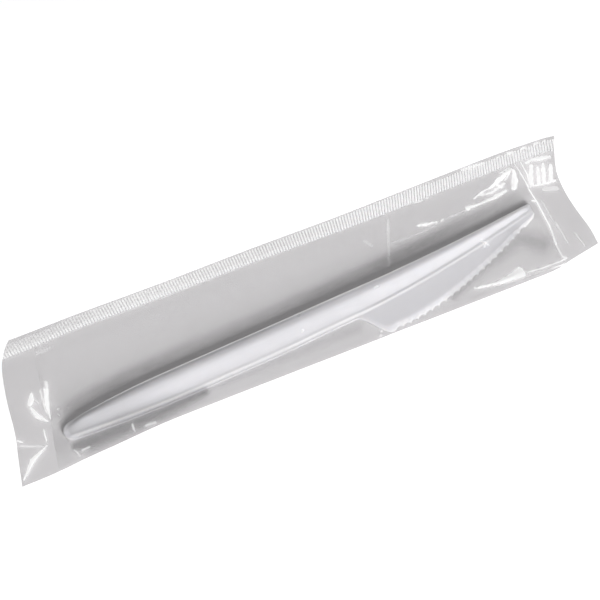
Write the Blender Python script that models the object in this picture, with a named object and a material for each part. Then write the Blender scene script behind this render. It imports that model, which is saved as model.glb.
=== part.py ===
"""A disposable knife in its clear film pack.

The knife is one white plastic moulding: a hollow-backed arched handle that runs on as the rib
along the blade's back, a flat blade below it and a scalloped cutting edge.
The pack is one web of clear film: folded along one long side, closed with a ribbed fin seal along
the other and with a flat crimped seal across each end.
Lengths are in metres. X runs from the handle to the tip, Y from the fold to the fin, Z is up.
"""
import math

import bmesh
import bpy
import numpy as np
from mathutils import Vector

# Knife outline, along its own axis from the handle's end and across from the line of its back
KNIFE_LENGTH = 0.1650
HANDLE_LENGTH = 0.0974
HEEL_LENGTH = 0.0088
HANDLE_WIDTH = 0.0102
NECK_WIDTH = 0.0095
PALM_LENGTH = 0.0680
BACK_TAPER = 0.0025
BACK_TAPER_LENGTH = 0.0360
EDGE_TAPER = 0.0023
EDGE_TAPER_LENGTH = 0.0450
BLADE_DEPTH = 0.0177
BELLY_LENGTH = 0.0146
EDGE_CURVE = 1.57
TIP_DEPTH = 0.0018
TIP_RISE = 0.0030
TIP_RISE_LENGTH = 0.0590
TIP_RISE_CURVE = 1.8
TIP_RADIUS = 0.0011

# Knife section
BACK_RIM = 0.0006
FRONT_RIM = 0.0010
GROOVE = 0.0005
GROOVE_DEPTH = 0.0003
BEAD_HEIGHT = 0.00015
PLATE = 0.00125
WALL = 0.0011
ARCH_HEIGHT = 0.0038
ARCH_RISE_LENGTH = 0.0075
ARCH_FULLNESS = 0.7
ARCH_FALL_LENGTH = 0.0033
RIB_TIP_HEIGHT = 0.0019
RIB_TIP_WIDTH = 0.0032
RIB_DROP_CURVE = 2.0
RIB_TAPER_CURVE = 1.3
CUTTING_EDGE = 0.0006
CUTTING_BEVEL = 0.0018

# Scallops of the cutting edge
TOOTH_PITCH = 0.00265
TOOTH_DEPTH = 0.00036
TOOTH_HOLLOW = 0.6
PLAIN_HEEL = 0.0012

# Film and seals
FILM = 0.00005
SEAL_THICKNESS = 0.00013
END_SEAL = 0.0115
FIN_WIDTH = 0.0052
FIN_RIB_PITCH = 0.00095
FIN_RIB_HEIGHT = 0.00018
FIN_RIB_LENGTH = 0.0040
FIN_LIP = 0.0005
END_RIB_PITCH = 0.0024
END_RIB_HEIGHT = 0.00012
FOLD_RADIUS = 0.0007
SEAL_LIFT = 0.0009
END_LIFT = 0.0005
FIN_RISE = 0.0004
VENT_DIAMETER = 0.0010

# How the knife lies in the pack
KNIFE_TURN = math.radians(2.87)
CONTACT_GAP = 0.0003
TENT_GAP = 0.00052
TENT_REACH_ALONG = 0.0008
TENT_REACH_ACROSS = 0.0013
HANDLE_GAP = 0.0026
TIP_GAP = 0.0017
BELLY_GAP = 0.0006
SPARE_WIDTH = 0.0143
OPENING_SHARE = 0.75
UNDER_FIN_RUN = 0.008
TOP_FIN_RUN = 0.002

# Spacing of the mesh
HANDLE_STEP = 0.0075
HEEL_STEP = 0.0018
PACK_STEP = 0.0056
POUCH_COLUMNS = 12
POUCH_CLOSENESS = 1.25
EDGE_POINTS_PER_TOOTH = 4
TENT_ROWS = 48
TENT_PASSES = 2500
TENT_SAG = 90.0

# Slack of the film at its edges: a place along or across as a share of the run, then a shift
HANDLE_END_SHIFT = ((0.0, -0.0030), (0.2, -0.0012), (0.35, 0.0002), (0.62, 0.0014),
                    (0.84, 0.0034), (0.95, 0.0062), (1.0, 0.0100))
TIP_END_SHIFT = ((0.0, 0.0008), (0.15, 0.0008), (0.35, 0.0), (0.55, -0.0006),
                 (0.70, -0.0002), (0.85, 0.0018), (1.0, 0.0046))
FOLD_SHIFT = ((0.0, -0.0027), (0.05, -0.0026), (0.10, -0.0017), (0.15, -0.0011), (0.22, -0.0002),
              (0.28, 0.0), (0.90, 0.0), (0.93, 0.0003), (0.96, 0.0013), (1.0, 0.0026))
FIN_SHIFT = ((0.0, 0.0), (0.6, 0.0), (0.78, 0.0003), (0.92, 0.0007), (0.98, 0.0002), (1.0, -0.0008))
HANDLE_END_SHEAR = 0.045
TIP_END_SHEAR = 0.014
CORNER_CURL = 0.0022
CURL_LENGTH = 0.020
WAVE_HEIGHT = 0.00025
WAVE_LENGTH = 0.060

KNIFE_COLOUR = (0.80, 0.80, 0.83, 1.0)
FILM_COLOUR = (0.84, 0.85, 0.88, 1.0)
FILM_ALPHA = 0.25


def clip(value):
    """Keep a share between nothing and the whole."""
    return min(1.0, max(0.0, value))


def mix(start, end, share):
    return start + (end - start) * share


def ease(share):
    """Share that leaves and arrives level."""
    share = clip(share)
    return share * share * (3.0 - 2.0 * share)


def quarter_round(share):
    """Height of a quarter circle of unit radius, from its foot to its crown."""
    return math.sqrt(1.0 - (1.0 - clip(share)) ** 2)


def smooth_curve(points, place):
    """Value at a place on the smooth curve through points that rise in their first number."""
    places = [p[0] for p in points]
    place = min(places[-1], max(places[0], place))
    k = min(len(points) - 2, max(0, int(np.searchsorted(places, place)) - 1))
    before, start = points[max(0, k - 1)], points[k]
    end, after = points[k + 1], points[min(len(points) - 1, k + 2)]
    run = end[0] - start[0]
    slope_start = (end[1] - before[1]) / (end[0] - before[0]) * run
    slope_end = (after[1] - start[1]) / (after[0] - start[0]) * run
    t = (place - start[0]) / run
    return ((1 + 2 * t) * (1 - t) ** 2 * start[1] + t * (1 - t) ** 2 * slope_start
            + t * t * (3 - 2 * t) * end[1] + t * t * (t - 1) * slope_end)


def back_line(s):
    """Upper edge of the knife's outline."""
    taper = BACK_TAPER * clip(1.0 - s / BACK_TAPER_LENGTH) ** 2
    rise = TIP_RISE * clip((s - KNIFE_LENGTH + TIP_RISE_LENGTH) / TIP_RISE_LENGTH) ** TIP_RISE_CURVE
    return rise - taper


def handle_line(s):
    """Lower edge of the handle."""
    taper = EDGE_TAPER * clip(1.0 - s / EDGE_TAPER_LENGTH) ** 2
    neck = (HANDLE_WIDTH - NECK_WIDTH) * ease((s - PALM_LENGTH) / (HANDLE_LENGTH - PALM_LENGTH))
    return taper + neck - HANDLE_WIDTH


def blade_line(s):
    """Cutting edge, before its scallops."""
    belly = HANDLE_LENGTH + BELLY_LENGTH
    run = clip((s - belly) / (KNIFE_LENGTH - belly))
    return mix(-BLADE_DEPTH, -TIP_DEPTH, run ** EDGE_CURVE)


def lower_line(s):
    """Lower edge of the knife's outline, through the S of the heel."""
    return mix(handle_line(s), blade_line(s), ease((s - HANDLE_LENGTH) / HEEL_LENGTH))


def blade_share(s):
    """How far along the blade a place is, and nothing on the handle."""
    return clip((s - HANDLE_LENGTH) / (KNIFE_LENGTH - HANDLE_LENGTH))


def arch_width(s):
    """Width of the handle's arch, and of the rib that it becomes along the blade."""
    on_handle = back_line(s) - handle_line(s) - FRONT_RIM
    neck = NECK_WIDTH - FRONT_RIM
    on_blade = mix(neck, RIB_TIP_WIDTH, blade_share(s) ** RIB_TAPER_CURVE)
    return on_handle if s < HANDLE_LENGTH else on_blade


def crest_height(s):
    """Height of the arch or rib over the knife's flat underside."""
    crest = mix(ARCH_HEIGHT, RIB_TIP_HEIGHT, blade_share(s) ** RIB_DROP_CURVE)
    ends = ease(s / ARCH_RISE_LENGTH) * ease((KNIFE_LENGTH - s) / ARCH_FALL_LENGTH)
    return PLATE + (crest - PLATE) * ends


def end_inset(s):
    """How far both edges come in at the handle's round end and at the tip's round corners."""
    radius = 0.5 * (back_line(0.0) - handle_line(0.0))
    if s < radius:
        return radius * (1.0 - quarter_round(s / radius))
    if s > KNIFE_LENGTH - TIP_RADIUS:
        return TIP_RADIUS * (1.0 - quarter_round((KNIFE_LENGTH - s) / TIP_RADIUS))
    return 0.0


ARCH_SHARES = (0.10, 0.25, 0.5, 0.75, 0.90)
WEB_SHARES = (0.35, 0.70)


def knife_section(s):
    """Columns across the knife at one place: how far across, top height and underside height."""
    back, front = back_line(s), lower_line(s)
    arch = arch_width(s)
    crest = crest_height(s)
    bow = arch - BACK_RIM - GROOVE
    columns = [(back, PLATE, 0.0), (back - BACK_RIM, PLATE, 0.0)]
    for share in ARCH_SHARES:
        top = PLATE + (crest - PLATE) * (1.0 - (2.0 * share - 1.0) ** 2) ** ARCH_FULLNESS
        columns.append((back - BACK_RIM - share * bow, top, max(0.0, top - WALL)))
    groove_top = PLATE - GROOVE_DEPTH * (crest - PLATE) / (ARCH_HEIGHT - PLATE)
    columns.append((back - BACK_RIM - bow, groove_top, 0.0))
    columns.append((back - arch + 0.4 * GROOVE, PLATE + BEAD_HEIGHT, 0.0))
    web_start = back - arch - 0.2 * FRONT_RIM
    bevel = min(CUTTING_BEVEL, 0.5 * (web_start - front))
    columns.append((web_start, PLATE, 0.0))
    for share in WEB_SHARES:
        columns.append((mix(web_start, front + bevel, share), PLATE, 0.0))
    columns.append((front + bevel, PLATE, 0.0))
    on_blade = ease((s - HANDLE_LENGTH) / HEEL_LENGTH)
    columns.append((front, mix(PLATE, CUTTING_EDGE, on_blade), 0.0))
    middle = 0.5 * (back + front)
    narrow = 1.0 - 2.0 * end_inset(s) / (back - front)
    return [(middle + (across - middle) * narrow, top, under) for across, top, under in columns]


def knife_top(s, across):
    """Height of the knife's top over its underside, or None beside the knife."""
    if not 0.0 <= s <= KNIFE_LENGTH:
        return None
    section = knife_section(s)
    if not section[-1][0] <= across <= section[0][0]:
        return None
    places = [column[0] for column in reversed(section)]
    tops = [column[1] for column in reversed(section)]
    return float(np.interp(across, places, tops))


def even_steps(start, end, step):
    """Places from start up to, but not at, end, about one step apart."""
    count = max(1, round((end - start) / step))
    return [mix(start, end, k / count) for k in range(count)]


def knife_stations():
    """Places along the knife: closer at its round ends, and one at each tooth of the edge."""
    radius = 0.5 * (back_line(0.0) - handle_line(0.0))
    stations = [radius * (1.0 - math.cos(math.radians(a))) for a in (8, 25, 45, 65)]
    teeth_start = HANDLE_LENGTH + HEEL_LENGTH + PLAIN_HEEL
    teeth = int((KNIFE_LENGTH - 2.0 * TIP_RADIUS - teeth_start) / TOOTH_PITCH)
    stations += even_steps(radius, HANDLE_LENGTH, HANDLE_STEP)
    stations += even_steps(HANDLE_LENGTH, HANDLE_LENGTH + HEEL_LENGTH, HEEL_STEP)
    stations += [HANDLE_LENGTH + HEEL_LENGTH]
    first_tooth = len(stations)
    stations += [teeth_start + k * TOOTH_PITCH for k in range(teeth + 1)]
    last_tooth = len(stations) - 1
    for angle in (0, 30, 60, 80):
        place = KNIFE_LENGTH - TIP_RADIUS * (1.0 - math.sin(math.radians(angle)))
        if place > stations[-1] + 0.2 * TIP_RADIUS:
            stations.append(place)
    return stations, first_tooth, last_tooth


def zip_rows(bm, row_a, row_b):
    """Fill between two rows of (place, vertex) pairs whose points don't line up."""
    a, b = 0, 0
    while a < len(row_a) - 1 or b < len(row_b) - 1:
        next_a = row_a[a + 1][0] if a < len(row_a) - 1 else math.inf
        next_b = row_b[b + 1][0] if b < len(row_b) - 1 else math.inf
        if next_a <= next_b:
            bm.faces.new((row_a[a][1], row_a[a + 1][1], row_b[b][1]))
            a += 1
        else:
            bm.faces.new((row_a[a][1], row_b[b + 1][1], row_b[b][1]))
            b += 1


def strip(bm, row_a, row_b):
    """Fill between two rows of vertices that line up."""
    for k in range(len(row_a) - 1):
        bm.faces.new((row_a[k], row_a[k + 1], row_b[k + 1], row_b[k]))


def finish(bm, name, colour, roughness, alpha=1.0):
    """Turn a closed mesh into a named object with its own material."""
    bmesh.ops.triangulate(bm, faces=bm.faces[:])
    bmesh.ops.recalc_face_normals(bm, faces=bm.faces[:])
    mesh = bpy.data.meshes.new(name)
    bm.to_mesh(mesh)
    bm.free()
    mesh.shade_smooth()
    mesh.set_sharp_from_angle(angle=math.radians(35))
    piece = bpy.data.objects.new(name, mesh)
    bpy.context.scene.collection.objects.link(piece)
    material = bpy.data.materials.new(name)
    material.use_nodes = True
    shader = material.node_tree.nodes["Principled BSDF"]
    shader.inputs["Base Color"].default_value = colour
    shader.inputs["Roughness"].default_value = roughness
    shader.inputs["Metallic"].default_value = 0.0
    shader.inputs["Alpha"].default_value = alpha
    mesh.materials.append(material)
    return piece


def knife_to_pack(s, across, height):
    """Place of a knife point in the pack, with the knife's underside just clear of the film."""
    turn_cos, turn_sin = math.cos(KNIFE_TURN), math.sin(KNIFE_TURN)
    x = s * turn_cos - across * turn_sin
    y = s * turn_sin + across * turn_cos
    return Vector((x, y, FILM + CONTACT_GAP + height))


def pack_to_knife(x, y):
    """Place along and across the knife of a point seen from above."""
    turn_cos, turn_sin = math.cos(KNIFE_TURN), math.sin(KNIFE_TURN)
    return x * turn_cos + y * turn_sin, y * turn_cos - x * turn_sin


def edge_offset(step):
    """How deep a scallop is at one of its points, with its tooth at step nought."""
    return TOOTH_DEPTH * math.sin(math.pi * step / EDGE_POINTS_PER_TOOTH) ** TOOTH_HOLLOW


def edge_rows(bm, stations, first_tooth, last_tooth):
    """Top and underside points of the cutting edge, with the scallops between the teeth."""
    upper, lower = [], []
    for k, s in enumerate(stations):
        steps = EDGE_POINTS_PER_TOOTH if first_tooth <= k < last_tooth else 1
        for step in range(steps):
            end = stations[k + 1] if k + 1 < len(stations) else s
            place = mix(s, end, step / steps)
            across, top, under = knife_section(place)[-1]
            across += edge_offset(step) if steps > 1 else 0.0
            upper.append((place, bm.verts.new(knife_to_pack(place, across, top))))
            lower.append((place, bm.verts.new(knife_to_pack(place, across, under))))
    return upper, lower


def make_knife():
    """The knife as one closed solid: a top skin, an underside and the edges between them."""
    stations, first_tooth, last_tooth = knife_stations()
    sections = [knife_section(s) for s in stations]
    bm = bmesh.new()
    upper, lower = [], []
    for column in range(len(sections[0]) - 1):
        upper.append([bm.verts.new(knife_to_pack(s, row[column][0], row[column][1]))
                      for s, row in zip(stations, sections)])
        lower.append([bm.verts.new(knife_to_pack(s, row[column][0], row[column][2]))
                      for s, row in zip(stations, sections)])
    edge_upper, edge_lower = edge_rows(bm, stations, first_tooth, last_tooth)
    for rows, edge in ((upper, edge_upper), (lower, edge_lower)):
        for k in range(len(rows) - 1):
            strip(bm, rows[k], rows[k + 1])
        zip_rows(bm, list(zip(stations, rows[-1])), edge)
    strip(bm, upper[0], lower[0])
    strip(bm, [v for _, v in edge_upper], [v for _, v in edge_lower])
    for end in (0, -1):
        strip(bm, [row[end] for row in upper] + [edge_upper[end][1]],
              [row[end] for row in lower] + [edge_lower[end][1]])
    return finish(bm, "knife", KNIFE_COLOUR, 0.35)


def knife_bounds():
    """Least and greatest X and Y of the knife where it lies in the pack."""
    stations, _, _ = knife_stations()
    points = [knife_to_pack(s, column[0], 0.0) for s in stations for column in knife_section(s)]
    xs, ys = [p.x for p in points], [p.y for p in points]
    return min(xs), max(xs), min(ys), max(ys)


class Pouch:
    """Lines of the pack, all worked out from the knife that it holds."""

    def __init__(self):
        left, right, low, high = knife_bounds()
        self.start = left - HANDLE_GAP
        self.end = right + TIP_GAP
        self.outer_start = self.start - END_SEAL
        self.outer_end = self.end + END_SEAL
        self.length = self.outer_end - self.outer_start
        self.fold = low - BELLY_GAP
        self.depth = high + SPARE_WIDTH - self.fold
        self.width = self.depth + FIN_WIDTH

    def place(self, along, across):
        """Point seen from above: along the pack, and across it from the fold."""
        run = (along - self.outer_start) / self.length
        fold = self.fold + smooth_curve(FOLD_SHIFT, run)
        fin = self.fold + self.width + smooth_curve(FIN_SHIFT, run)
        share = across / self.width
        at_start = ease(1.0 - (along - self.outer_start) / HANDLE_END_SHEAR)
        at_end = ease(1.0 - (self.outer_end - along) / TIP_END_SHEAR)
        x = (along + at_start * smooth_curve(HANDLE_END_SHIFT, share)
             + at_end * smooth_curve(TIP_END_SHIFT, share))
        return x, mix(fold, fin, share)

    def open_share(self, along, across, fin_run):
        """Nothing in the seals, and the whole where the knife starts."""
        from_ends = min((along - self.start) / HANDLE_GAP, (self.end - along) / TIP_GAP)
        from_fin = (self.depth - across) / fin_run
        return ease(from_ends / OPENING_SHARE) * ease(from_fin)

    def seal_height(self, along, across):
        """Middle of the sealed film: waved a little, and curled up at the blade's corner."""
        wave = WAVE_HEIGHT * math.sin(2.0 * math.pi * along / WAVE_LENGTH)
        fin = ease((across - 0.5 * self.depth) / (0.5 * self.depth))
        from_corner = math.hypot(self.outer_end - along, across)
        curl = CORNER_CURL * ease(1.0 - from_corner / CURL_LENGTH)
        droop = min(along - self.outer_start, self.outer_end - along) / END_SEAL
        lift = mix(END_LIFT, SEAL_LIFT, clip(max(droop, fin)))
        return lift + fin * FIN_RISE + wave * fin + curl

    def under(self, along, across):
        """Height of the pack's outer underside."""
        nose = quarter_round(across / FOLD_RADIUS) * FOLD_RADIUS
        laid = FOLD_RADIUS - max(0.5 * SEAL_THICKNESS, nose)
        sealed = self.seal_height(along, across) - 0.5 * SEAL_THICKNESS
        return mix(sealed, laid, self.open_share(along, across, UNDER_FIN_RUN))

    def fold_top(self, along, across):
        """Height of the pack's outer top where it turns round the fold."""
        nose = quarter_round(across / FOLD_RADIUS) * FOLD_RADIUS
        laid = FOLD_RADIUS + max(0.5 * SEAL_THICKNESS, nose)
        sealed = self.seal_height(along, across) + 0.5 * SEAL_THICKNESS
        return mix(sealed, laid, self.open_share(along, across, TOP_FIN_RUN))


def film_floor(pouch, along, across):
    """Least height of the film's outer top: clear of the knife and of the underside."""
    spread = min(along - pouch.start, pouch.end - along, pouch.depth - across)
    least = pouch.under(along, across) + SEAL_THICKNESS + min(0.0004, 0.15 * max(0.0, spread))
    x, y = pouch.place(along, across)
    for ahead in (-TENT_REACH_ALONG, 0.0, TENT_REACH_ALONG):
        for aside in (-TENT_REACH_ACROSS, 0.0, TENT_REACH_ACROSS):
            top = knife_top(*pack_to_knife(x + ahead, y + aside))
            if top is not None:
                least = max(least, 2.0 * FILM + CONTACT_GAP + top + TENT_GAP)
    return least


def tent_heights(pouch):
    """Film drawn over the knife, from the fold to the fin and from end seal to end seal.

    Each point settles just below the middle of its neighbours unless something holds it up, so the
    film comes down beside the knife and lies on the film beneath.
    """
    across = np.linspace(FOLD_RADIUS, pouch.depth, TENT_ROWS)
    columns = 1 + int((pouch.end - pouch.start) / (across[1] - across[0]))
    along = np.linspace(pouch.start, pouch.end, columns)
    least = np.array([[film_floor(pouch, a, c) for c in across] for a in along])
    height = least.copy()
    half = 0.5 * SEAL_THICKNESS
    height[0] = [pouch.seal_height(along[0], c) + half for c in across]
    height[-1] = [pouch.seal_height(along[-1], c) + half for c in across]
    height[:, -1] = [pouch.seal_height(a, across[-1]) + half for a in along]
    height[:, 0] = [pouch.fold_top(a, across[0]) for a in along]
    step = across[1] - across[0]
    pull = (step / (along[1] - along[0])) ** 2
    sag = TENT_SAG * step * step
    for _ in range(TENT_PASSES):
        across_sum = height[1:-1, :-2] + height[1:-1, 2:]
        along_sum = height[:-2, 1:-1] + height[2:, 1:-1]
        middle = (across_sum + pull * along_sum - sag) / (2.0 + 2.0 * pull)
        height[1:-1, 1:-1] = np.maximum(middle, least[1:-1, 1:-1])
    return along, across, height


def grid_value(grid, along, across):
    """Value between the points of the tent."""
    alongs, acrosses, height = grid
    i = min(len(alongs) - 2, max(0, int(np.searchsorted(alongs, along)) - 1))
    j = min(len(acrosses) - 2, max(0, int(np.searchsorted(acrosses, across)) - 1))
    u = clip((along - alongs[i]) / (alongs[i + 1] - alongs[i]))
    v = clip((across - acrosses[j]) / (acrosses[j + 1] - acrosses[j]))
    return mix(mix(height[i, j], height[i + 1, j], u), mix(height[i, j + 1], height[i + 1, j + 1], u), v)


def outer_top(pouch, tent, along, across):
    """Height of the pack's outer top."""
    inside = pouch.start < along < pouch.end and across < pouch.depth
    if not inside:
        return pouch.seal_height(along, across) + 0.5 * SEAL_THICKNESS
    if across < FOLD_RADIUS:
        return pouch.fold_top(along, across)
    return grid_value(tent, along, across)


def pack_stations(pouch):
    """Places along the pack, with a crest and a hollow for each rib of the end seals."""
    ribs = max(1, round((END_SEAL - END_RIB_PITCH) / END_RIB_PITCH))
    seal = [END_SEAL * k / (2 * ribs + 1) for k in range(2 * ribs + 1)]
    zigzag = [0.0] + [END_RIB_HEIGHT * (0.5 if k % 2 else -0.5) for k in range(2 * ribs)]
    inner = even_steps(pouch.start, pouch.end, PACK_STEP)[1:]
    near = [pouch.start + 0.4 * HANDLE_GAP, pouch.start + HANDLE_GAP - CONTACT_GAP]
    far = [pouch.end - TIP_GAP - 0.25 * PACK_STEP, pouch.end - TIP_GAP + CONTACT_GAP]
    inner = [a for a in inner if near[-1] + 0.4 * PACK_STEP < a < far[0] - 0.4 * PACK_STEP]
    stations = [pouch.outer_start + d for d in seal]
    first = len(stations)
    stations += [pouch.start] + near + inner + far + [pouch.end]
    last = len(stations) - 1
    stations += [pouch.outer_end - d for d in reversed(seal)]
    heights = zigzag + [0.0] * (last - first + 1) + zigzag[::-1]
    return stations, heights, first, last


def pouch_columns(pouch):
    """Places across the pack from the fold to the fin, closer round the fold."""
    nose = [FOLD_RADIUS * (1.0 - math.cos(math.radians(a))) for a in (0, 35, 65)]
    return nose + [mix(FOLD_RADIUS, pouch.depth, (k / POUCH_COLUMNS) ** POUCH_CLOSENESS)
                   for k in range(POUCH_COLUMNS + 1)]


def fin_rows(pouch):
    """Rib places along the fin, and the lines across it where the ribs start and end."""
    count = round(pouch.length / FIN_RIB_PITCH)
    places = [pouch.outer_start + pouch.length * k / (2 * count) for k in range(2 * count + 1)]
    end = pouch.width - FIN_LIP
    return places, (end - FIN_RIB_LENGTH, end)


def fin_skin(bm, pouch, side, inner_row, stations):
    """One side of the ribbed fin, from the pouch's last row out. Returns its rows of vertices."""
    places, lines = fin_rows(pouch)
    rows = [inner_row]
    for line in lines:
        row = []
        for k, along in enumerate(places):
            rib = FIN_RIB_HEIGHT * (0.5 if k % 2 else -0.5)
            height = pouch.seal_height(along, line) + rib + side * 0.5 * SEAL_THICKNESS
            row.append((along, bm.verts.new((*pouch.place(along, line), height))))
        rows.append(row)
    outer = []
    for along in stations:
        height = pouch.seal_height(along, pouch.width) + side * 0.5 * SEAL_THICKNESS
        outer.append((along, bm.verts.new((*pouch.place(along, pouch.width), height))))
    rows.append(outer)
    zip_rows(bm, rows[0], rows[1])
    strip(bm, [v for _, v in rows[1]], [v for _, v in rows[2]])
    zip_rows(bm, rows[2], rows[3])
    return rows


def pierced_cell(bm, outer, inner):
    """Round vent through the film in place of one pair of facing cells."""
    middle = sum((v.co for v in outer), Vector()) / 4
    rings = []
    for corners in (outer, inner):
        height = sum(v.co.z for v in corners) / 4
        ring = []
        for corner in corners:
            aim = math.atan2(corner.co.y - middle.y, corner.co.x - middle.x)
            for swing in (-22.5, 22.5):
                angle = aim + math.radians(swing) * direction(corners, middle)
                x = middle.x + 0.5 * VENT_DIAMETER * math.cos(angle)
                y = middle.y + 0.5 * VENT_DIAMETER * math.sin(angle)
                ring.append(bm.verts.new((x, y, height)))
        for k in range(4):
            after = (k + 1) % 4
            bm.faces.new((corners[k], ring[2 * k], ring[2 * k + 1]))
            bm.faces.new((corners[k], ring[2 * k + 1], ring[2 * after], corners[after]))
        rings.append(ring)
    strip(bm, rings[0] + rings[0][:1], rings[1] + rings[1][:1])


def direction(corners, middle):
    """Which way round the corners go, seen from above."""
    first, second = corners[0].co - middle, corners[1].co - middle
    return 1.0 if first.x * second.y - first.y * second.x > 0.0 else -1.0


def make_pack():
    """The film as one closed solid: outer skin, inner skin, fused seals and a vent beneath."""
    pouch = Pouch()
    tent = tent_heights(pouch)
    stations, ribs, first, last = pack_stations(pouch)
    columns = pouch_columns(pouch)
    bm = bmesh.new()
    skins = {}
    for side in (1, -1):
        skin = []
        for across in columns:
            row = []
            for along, rib in zip(stations, ribs):
                height = outer_top(pouch, tent, along, across) if side > 0 else pouch.under(along, across)
                row.append(bm.verts.new((*pouch.place(along, across), height + rib)))
            skin.append(row)
        skins[side] = skin
    inner = {side: inner_skin(bm, skins[side], side, first, last) for side in (1, -1)}
    vent = (len(columns) - 4, (first + 2 * last) // 3)
    for side in (1, -1):
        fill_skin(bm, skins[side], vent if side < 0 else None)
        fill_skin(bm, inner[side], (vent[0], vent[1] - first) if side < 0 else None)
    j, i = vent
    pierced_cell(bm, cell(skins[-1], j, i), cell(inner[-1], j, i - first))
    fins = {side: fin_skin(bm, pouch, side, list(zip(stations, skins[side][-1])), stations)
            for side in (1, -1)}
    for end in (0, -1):
        edges = [[row[end] for row in skins[side]] + [row[end][1] for row in fins[side][1:]]
                 for side in (1, -1)]
        strip(bm, edges[0], edges[1])
        strip(bm, [row[end] for row in inner[1]], [row[end] for row in inner[-1]])
    strip(bm, skins[1][0], skins[-1][0])
    strip(bm, [v for _, v in fins[1][3]], [v for _, v in fins[-1][3]])
    for edge in (0, -1):
        strip(bm, inner[1][edge], inner[-1][edge])
    return finish(bm, "film_wrapper", FILM_COLOUR, 0.12, FILM_ALPHA)


def cell(skin, j, i):
    """Corners of one cell, in order round it."""
    return [skin[j][i], skin[j][i + 1], skin[j + 1][i + 1], skin[j + 1][i]]


def fill_skin(bm, skin, hole):
    """Cells between a skin's rows, apart from the one left for the vent."""
    for j in range(len(skin) - 1):
        for i in range(len(skin[j]) - 1):
            if (j, i) != hole:
                bm.faces.new(cell(skin, j, i))


def inner_skin(bm, skin, side, first, last):
    """Film thickness inside one skin, between the end seals."""
    rows = [[v.co for v in row] for row in skin]
    inner = []
    for j, row in enumerate(rows):
        moved = []
        for i in range(first, last + 1):
            around = rows[min(len(rows) - 1, j + 1)][i] - rows[max(0, j - 1)][i]
            ahead = row[i + 1] - row[i - 1]
            normal = ahead.cross(around).normalized() * side
            moved.append(bm.verts.new(row[i] - normal * FILM))
        inner.append(moved)
    return inner


def centre(pieces):
    """Stand the pack on Z nought with the middle of its box at X and Y nought."""
    points = [v.co for piece in pieces for v in piece.data.vertices]
    middle = [0.5 * (min(p[k] for p in points) + max(p[k] for p in points)) for k in (0, 1)]
    shift = Vector((-middle[0], -middle[1], -min(p.z for p in points)))
    for piece in pieces:
        for vertex in piece.data.vertices:
            vertex.co += shift


def main():
    for thing in list(bpy.data.objects):
        bpy.data.objects.remove(thing)
    centre([make_knife(), make_pack()])


main()
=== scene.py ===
import math

import bpy
import numpy as np
from bpy.props import FloatProperty, FloatVectorProperty, PointerProperty
from mathutils import Matrix, Vector


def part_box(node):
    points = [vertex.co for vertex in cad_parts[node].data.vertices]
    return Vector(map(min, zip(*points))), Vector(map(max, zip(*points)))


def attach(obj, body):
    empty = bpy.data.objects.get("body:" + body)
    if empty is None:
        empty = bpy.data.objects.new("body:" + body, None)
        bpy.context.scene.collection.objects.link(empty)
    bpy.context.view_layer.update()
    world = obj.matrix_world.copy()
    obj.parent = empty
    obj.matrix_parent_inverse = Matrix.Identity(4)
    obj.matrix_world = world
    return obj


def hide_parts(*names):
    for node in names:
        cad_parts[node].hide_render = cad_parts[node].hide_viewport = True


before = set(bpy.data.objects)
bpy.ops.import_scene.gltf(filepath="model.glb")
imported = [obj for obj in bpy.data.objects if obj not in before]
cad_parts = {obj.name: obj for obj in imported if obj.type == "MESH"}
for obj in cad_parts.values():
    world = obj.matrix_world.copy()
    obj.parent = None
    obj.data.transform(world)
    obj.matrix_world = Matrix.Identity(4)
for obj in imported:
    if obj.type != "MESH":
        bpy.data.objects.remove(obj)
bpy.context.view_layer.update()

bl_info = {
    "name": "Wrapped Knife",
    "version": (1, 0, 0),
    "blender": (4, 5, 0),
    "location": "3D View > Sidebar > Wrapped Knife",
    "description": "A disposable knife sealed in a clear film pack with a ribbed fin seal",
    "category": "Object",
}

# Knife outline, in metres along its own axis and across from the line of its back
KNIFE_LENGTH = 0.1650
HANDLE_LENGTH = 0.0974
HEEL_LENGTH = 0.0088
HANDLE_WIDTH = 0.0102
NECK_WIDTH = 0.0095
PALM_LENGTH = 0.0680
BACK_TAPER = 0.0025
BACK_TAPER_LENGTH = 0.0360
EDGE_TAPER = 0.0023
EDGE_TAPER_LENGTH = 0.0450
BLADE_DEPTH = 0.0177
BELLY_LENGTH = 0.0146
EDGE_CURVE = 1.57
TIP_DEPTH = 0.0018
TIP_RISE = 0.0030
TIP_RISE_LENGTH = 0.0590
TIP_RISE_CURVE = 1.8
TIP_RADIUS = 0.0011

# Knife section
BACK_RIM = 0.00045
FRONT_RIM = 0.0010
BEAD_START = 0.0011
BEAD_END = 0.0005
BEAD_HEIGHT = 0.00025
HANDLE_RIM_RISE = 0.00045
PLATE = 0.00125
WALL = 0.0011
ARCH_HEIGHT = 0.0038
ARCH_RISE_LENGTH = 0.0075
ARCH_CREST = 0.38
HANDLE_BACK_DROP = 0.37
BLADE_BACK_DROP = 0.16
BACK_DROP_CHANGE = (0.060, 0.110)
BACK_CORNER = 0.012
BACK_LEDGE = 0.062
ARCH_FALL_LENGTH = 0.0033
RIB_TIP_HEIGHT = 0.0019
RIB_TIP_WIDTH = 0.0032
RIB_DROP_CURVE = 2.0
RIB_TAPER_CURVE = 1.3
CUTTING_EDGE = 0.0006
CUTTING_BEVEL = 0.0018
EDGE_ROUND = 0.00028
TEETH_START = HANDLE_LENGTH + HEEL_LENGTH + 0.0012
TEETH_RUN = 0.003
TOOTH_PITCH = 0.00265
TOOTH_HOLLOW = 0.6

# Painted highlights of the knife as white lines: how far in from its outline or from its bead, half
# the width and how white; then how white the bevel is and how far in the points of the teeth are
# white
BACK_HIGHLIGHT = (0.00070, 0.00022, 0.8)
BEAD_HIGHLIGHT = (0.0002, 0.0004, 0.5)
BEVEL_HIGHLIGHT = 0.25
TEETH_HIGHLIGHT = 0.0007
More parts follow.
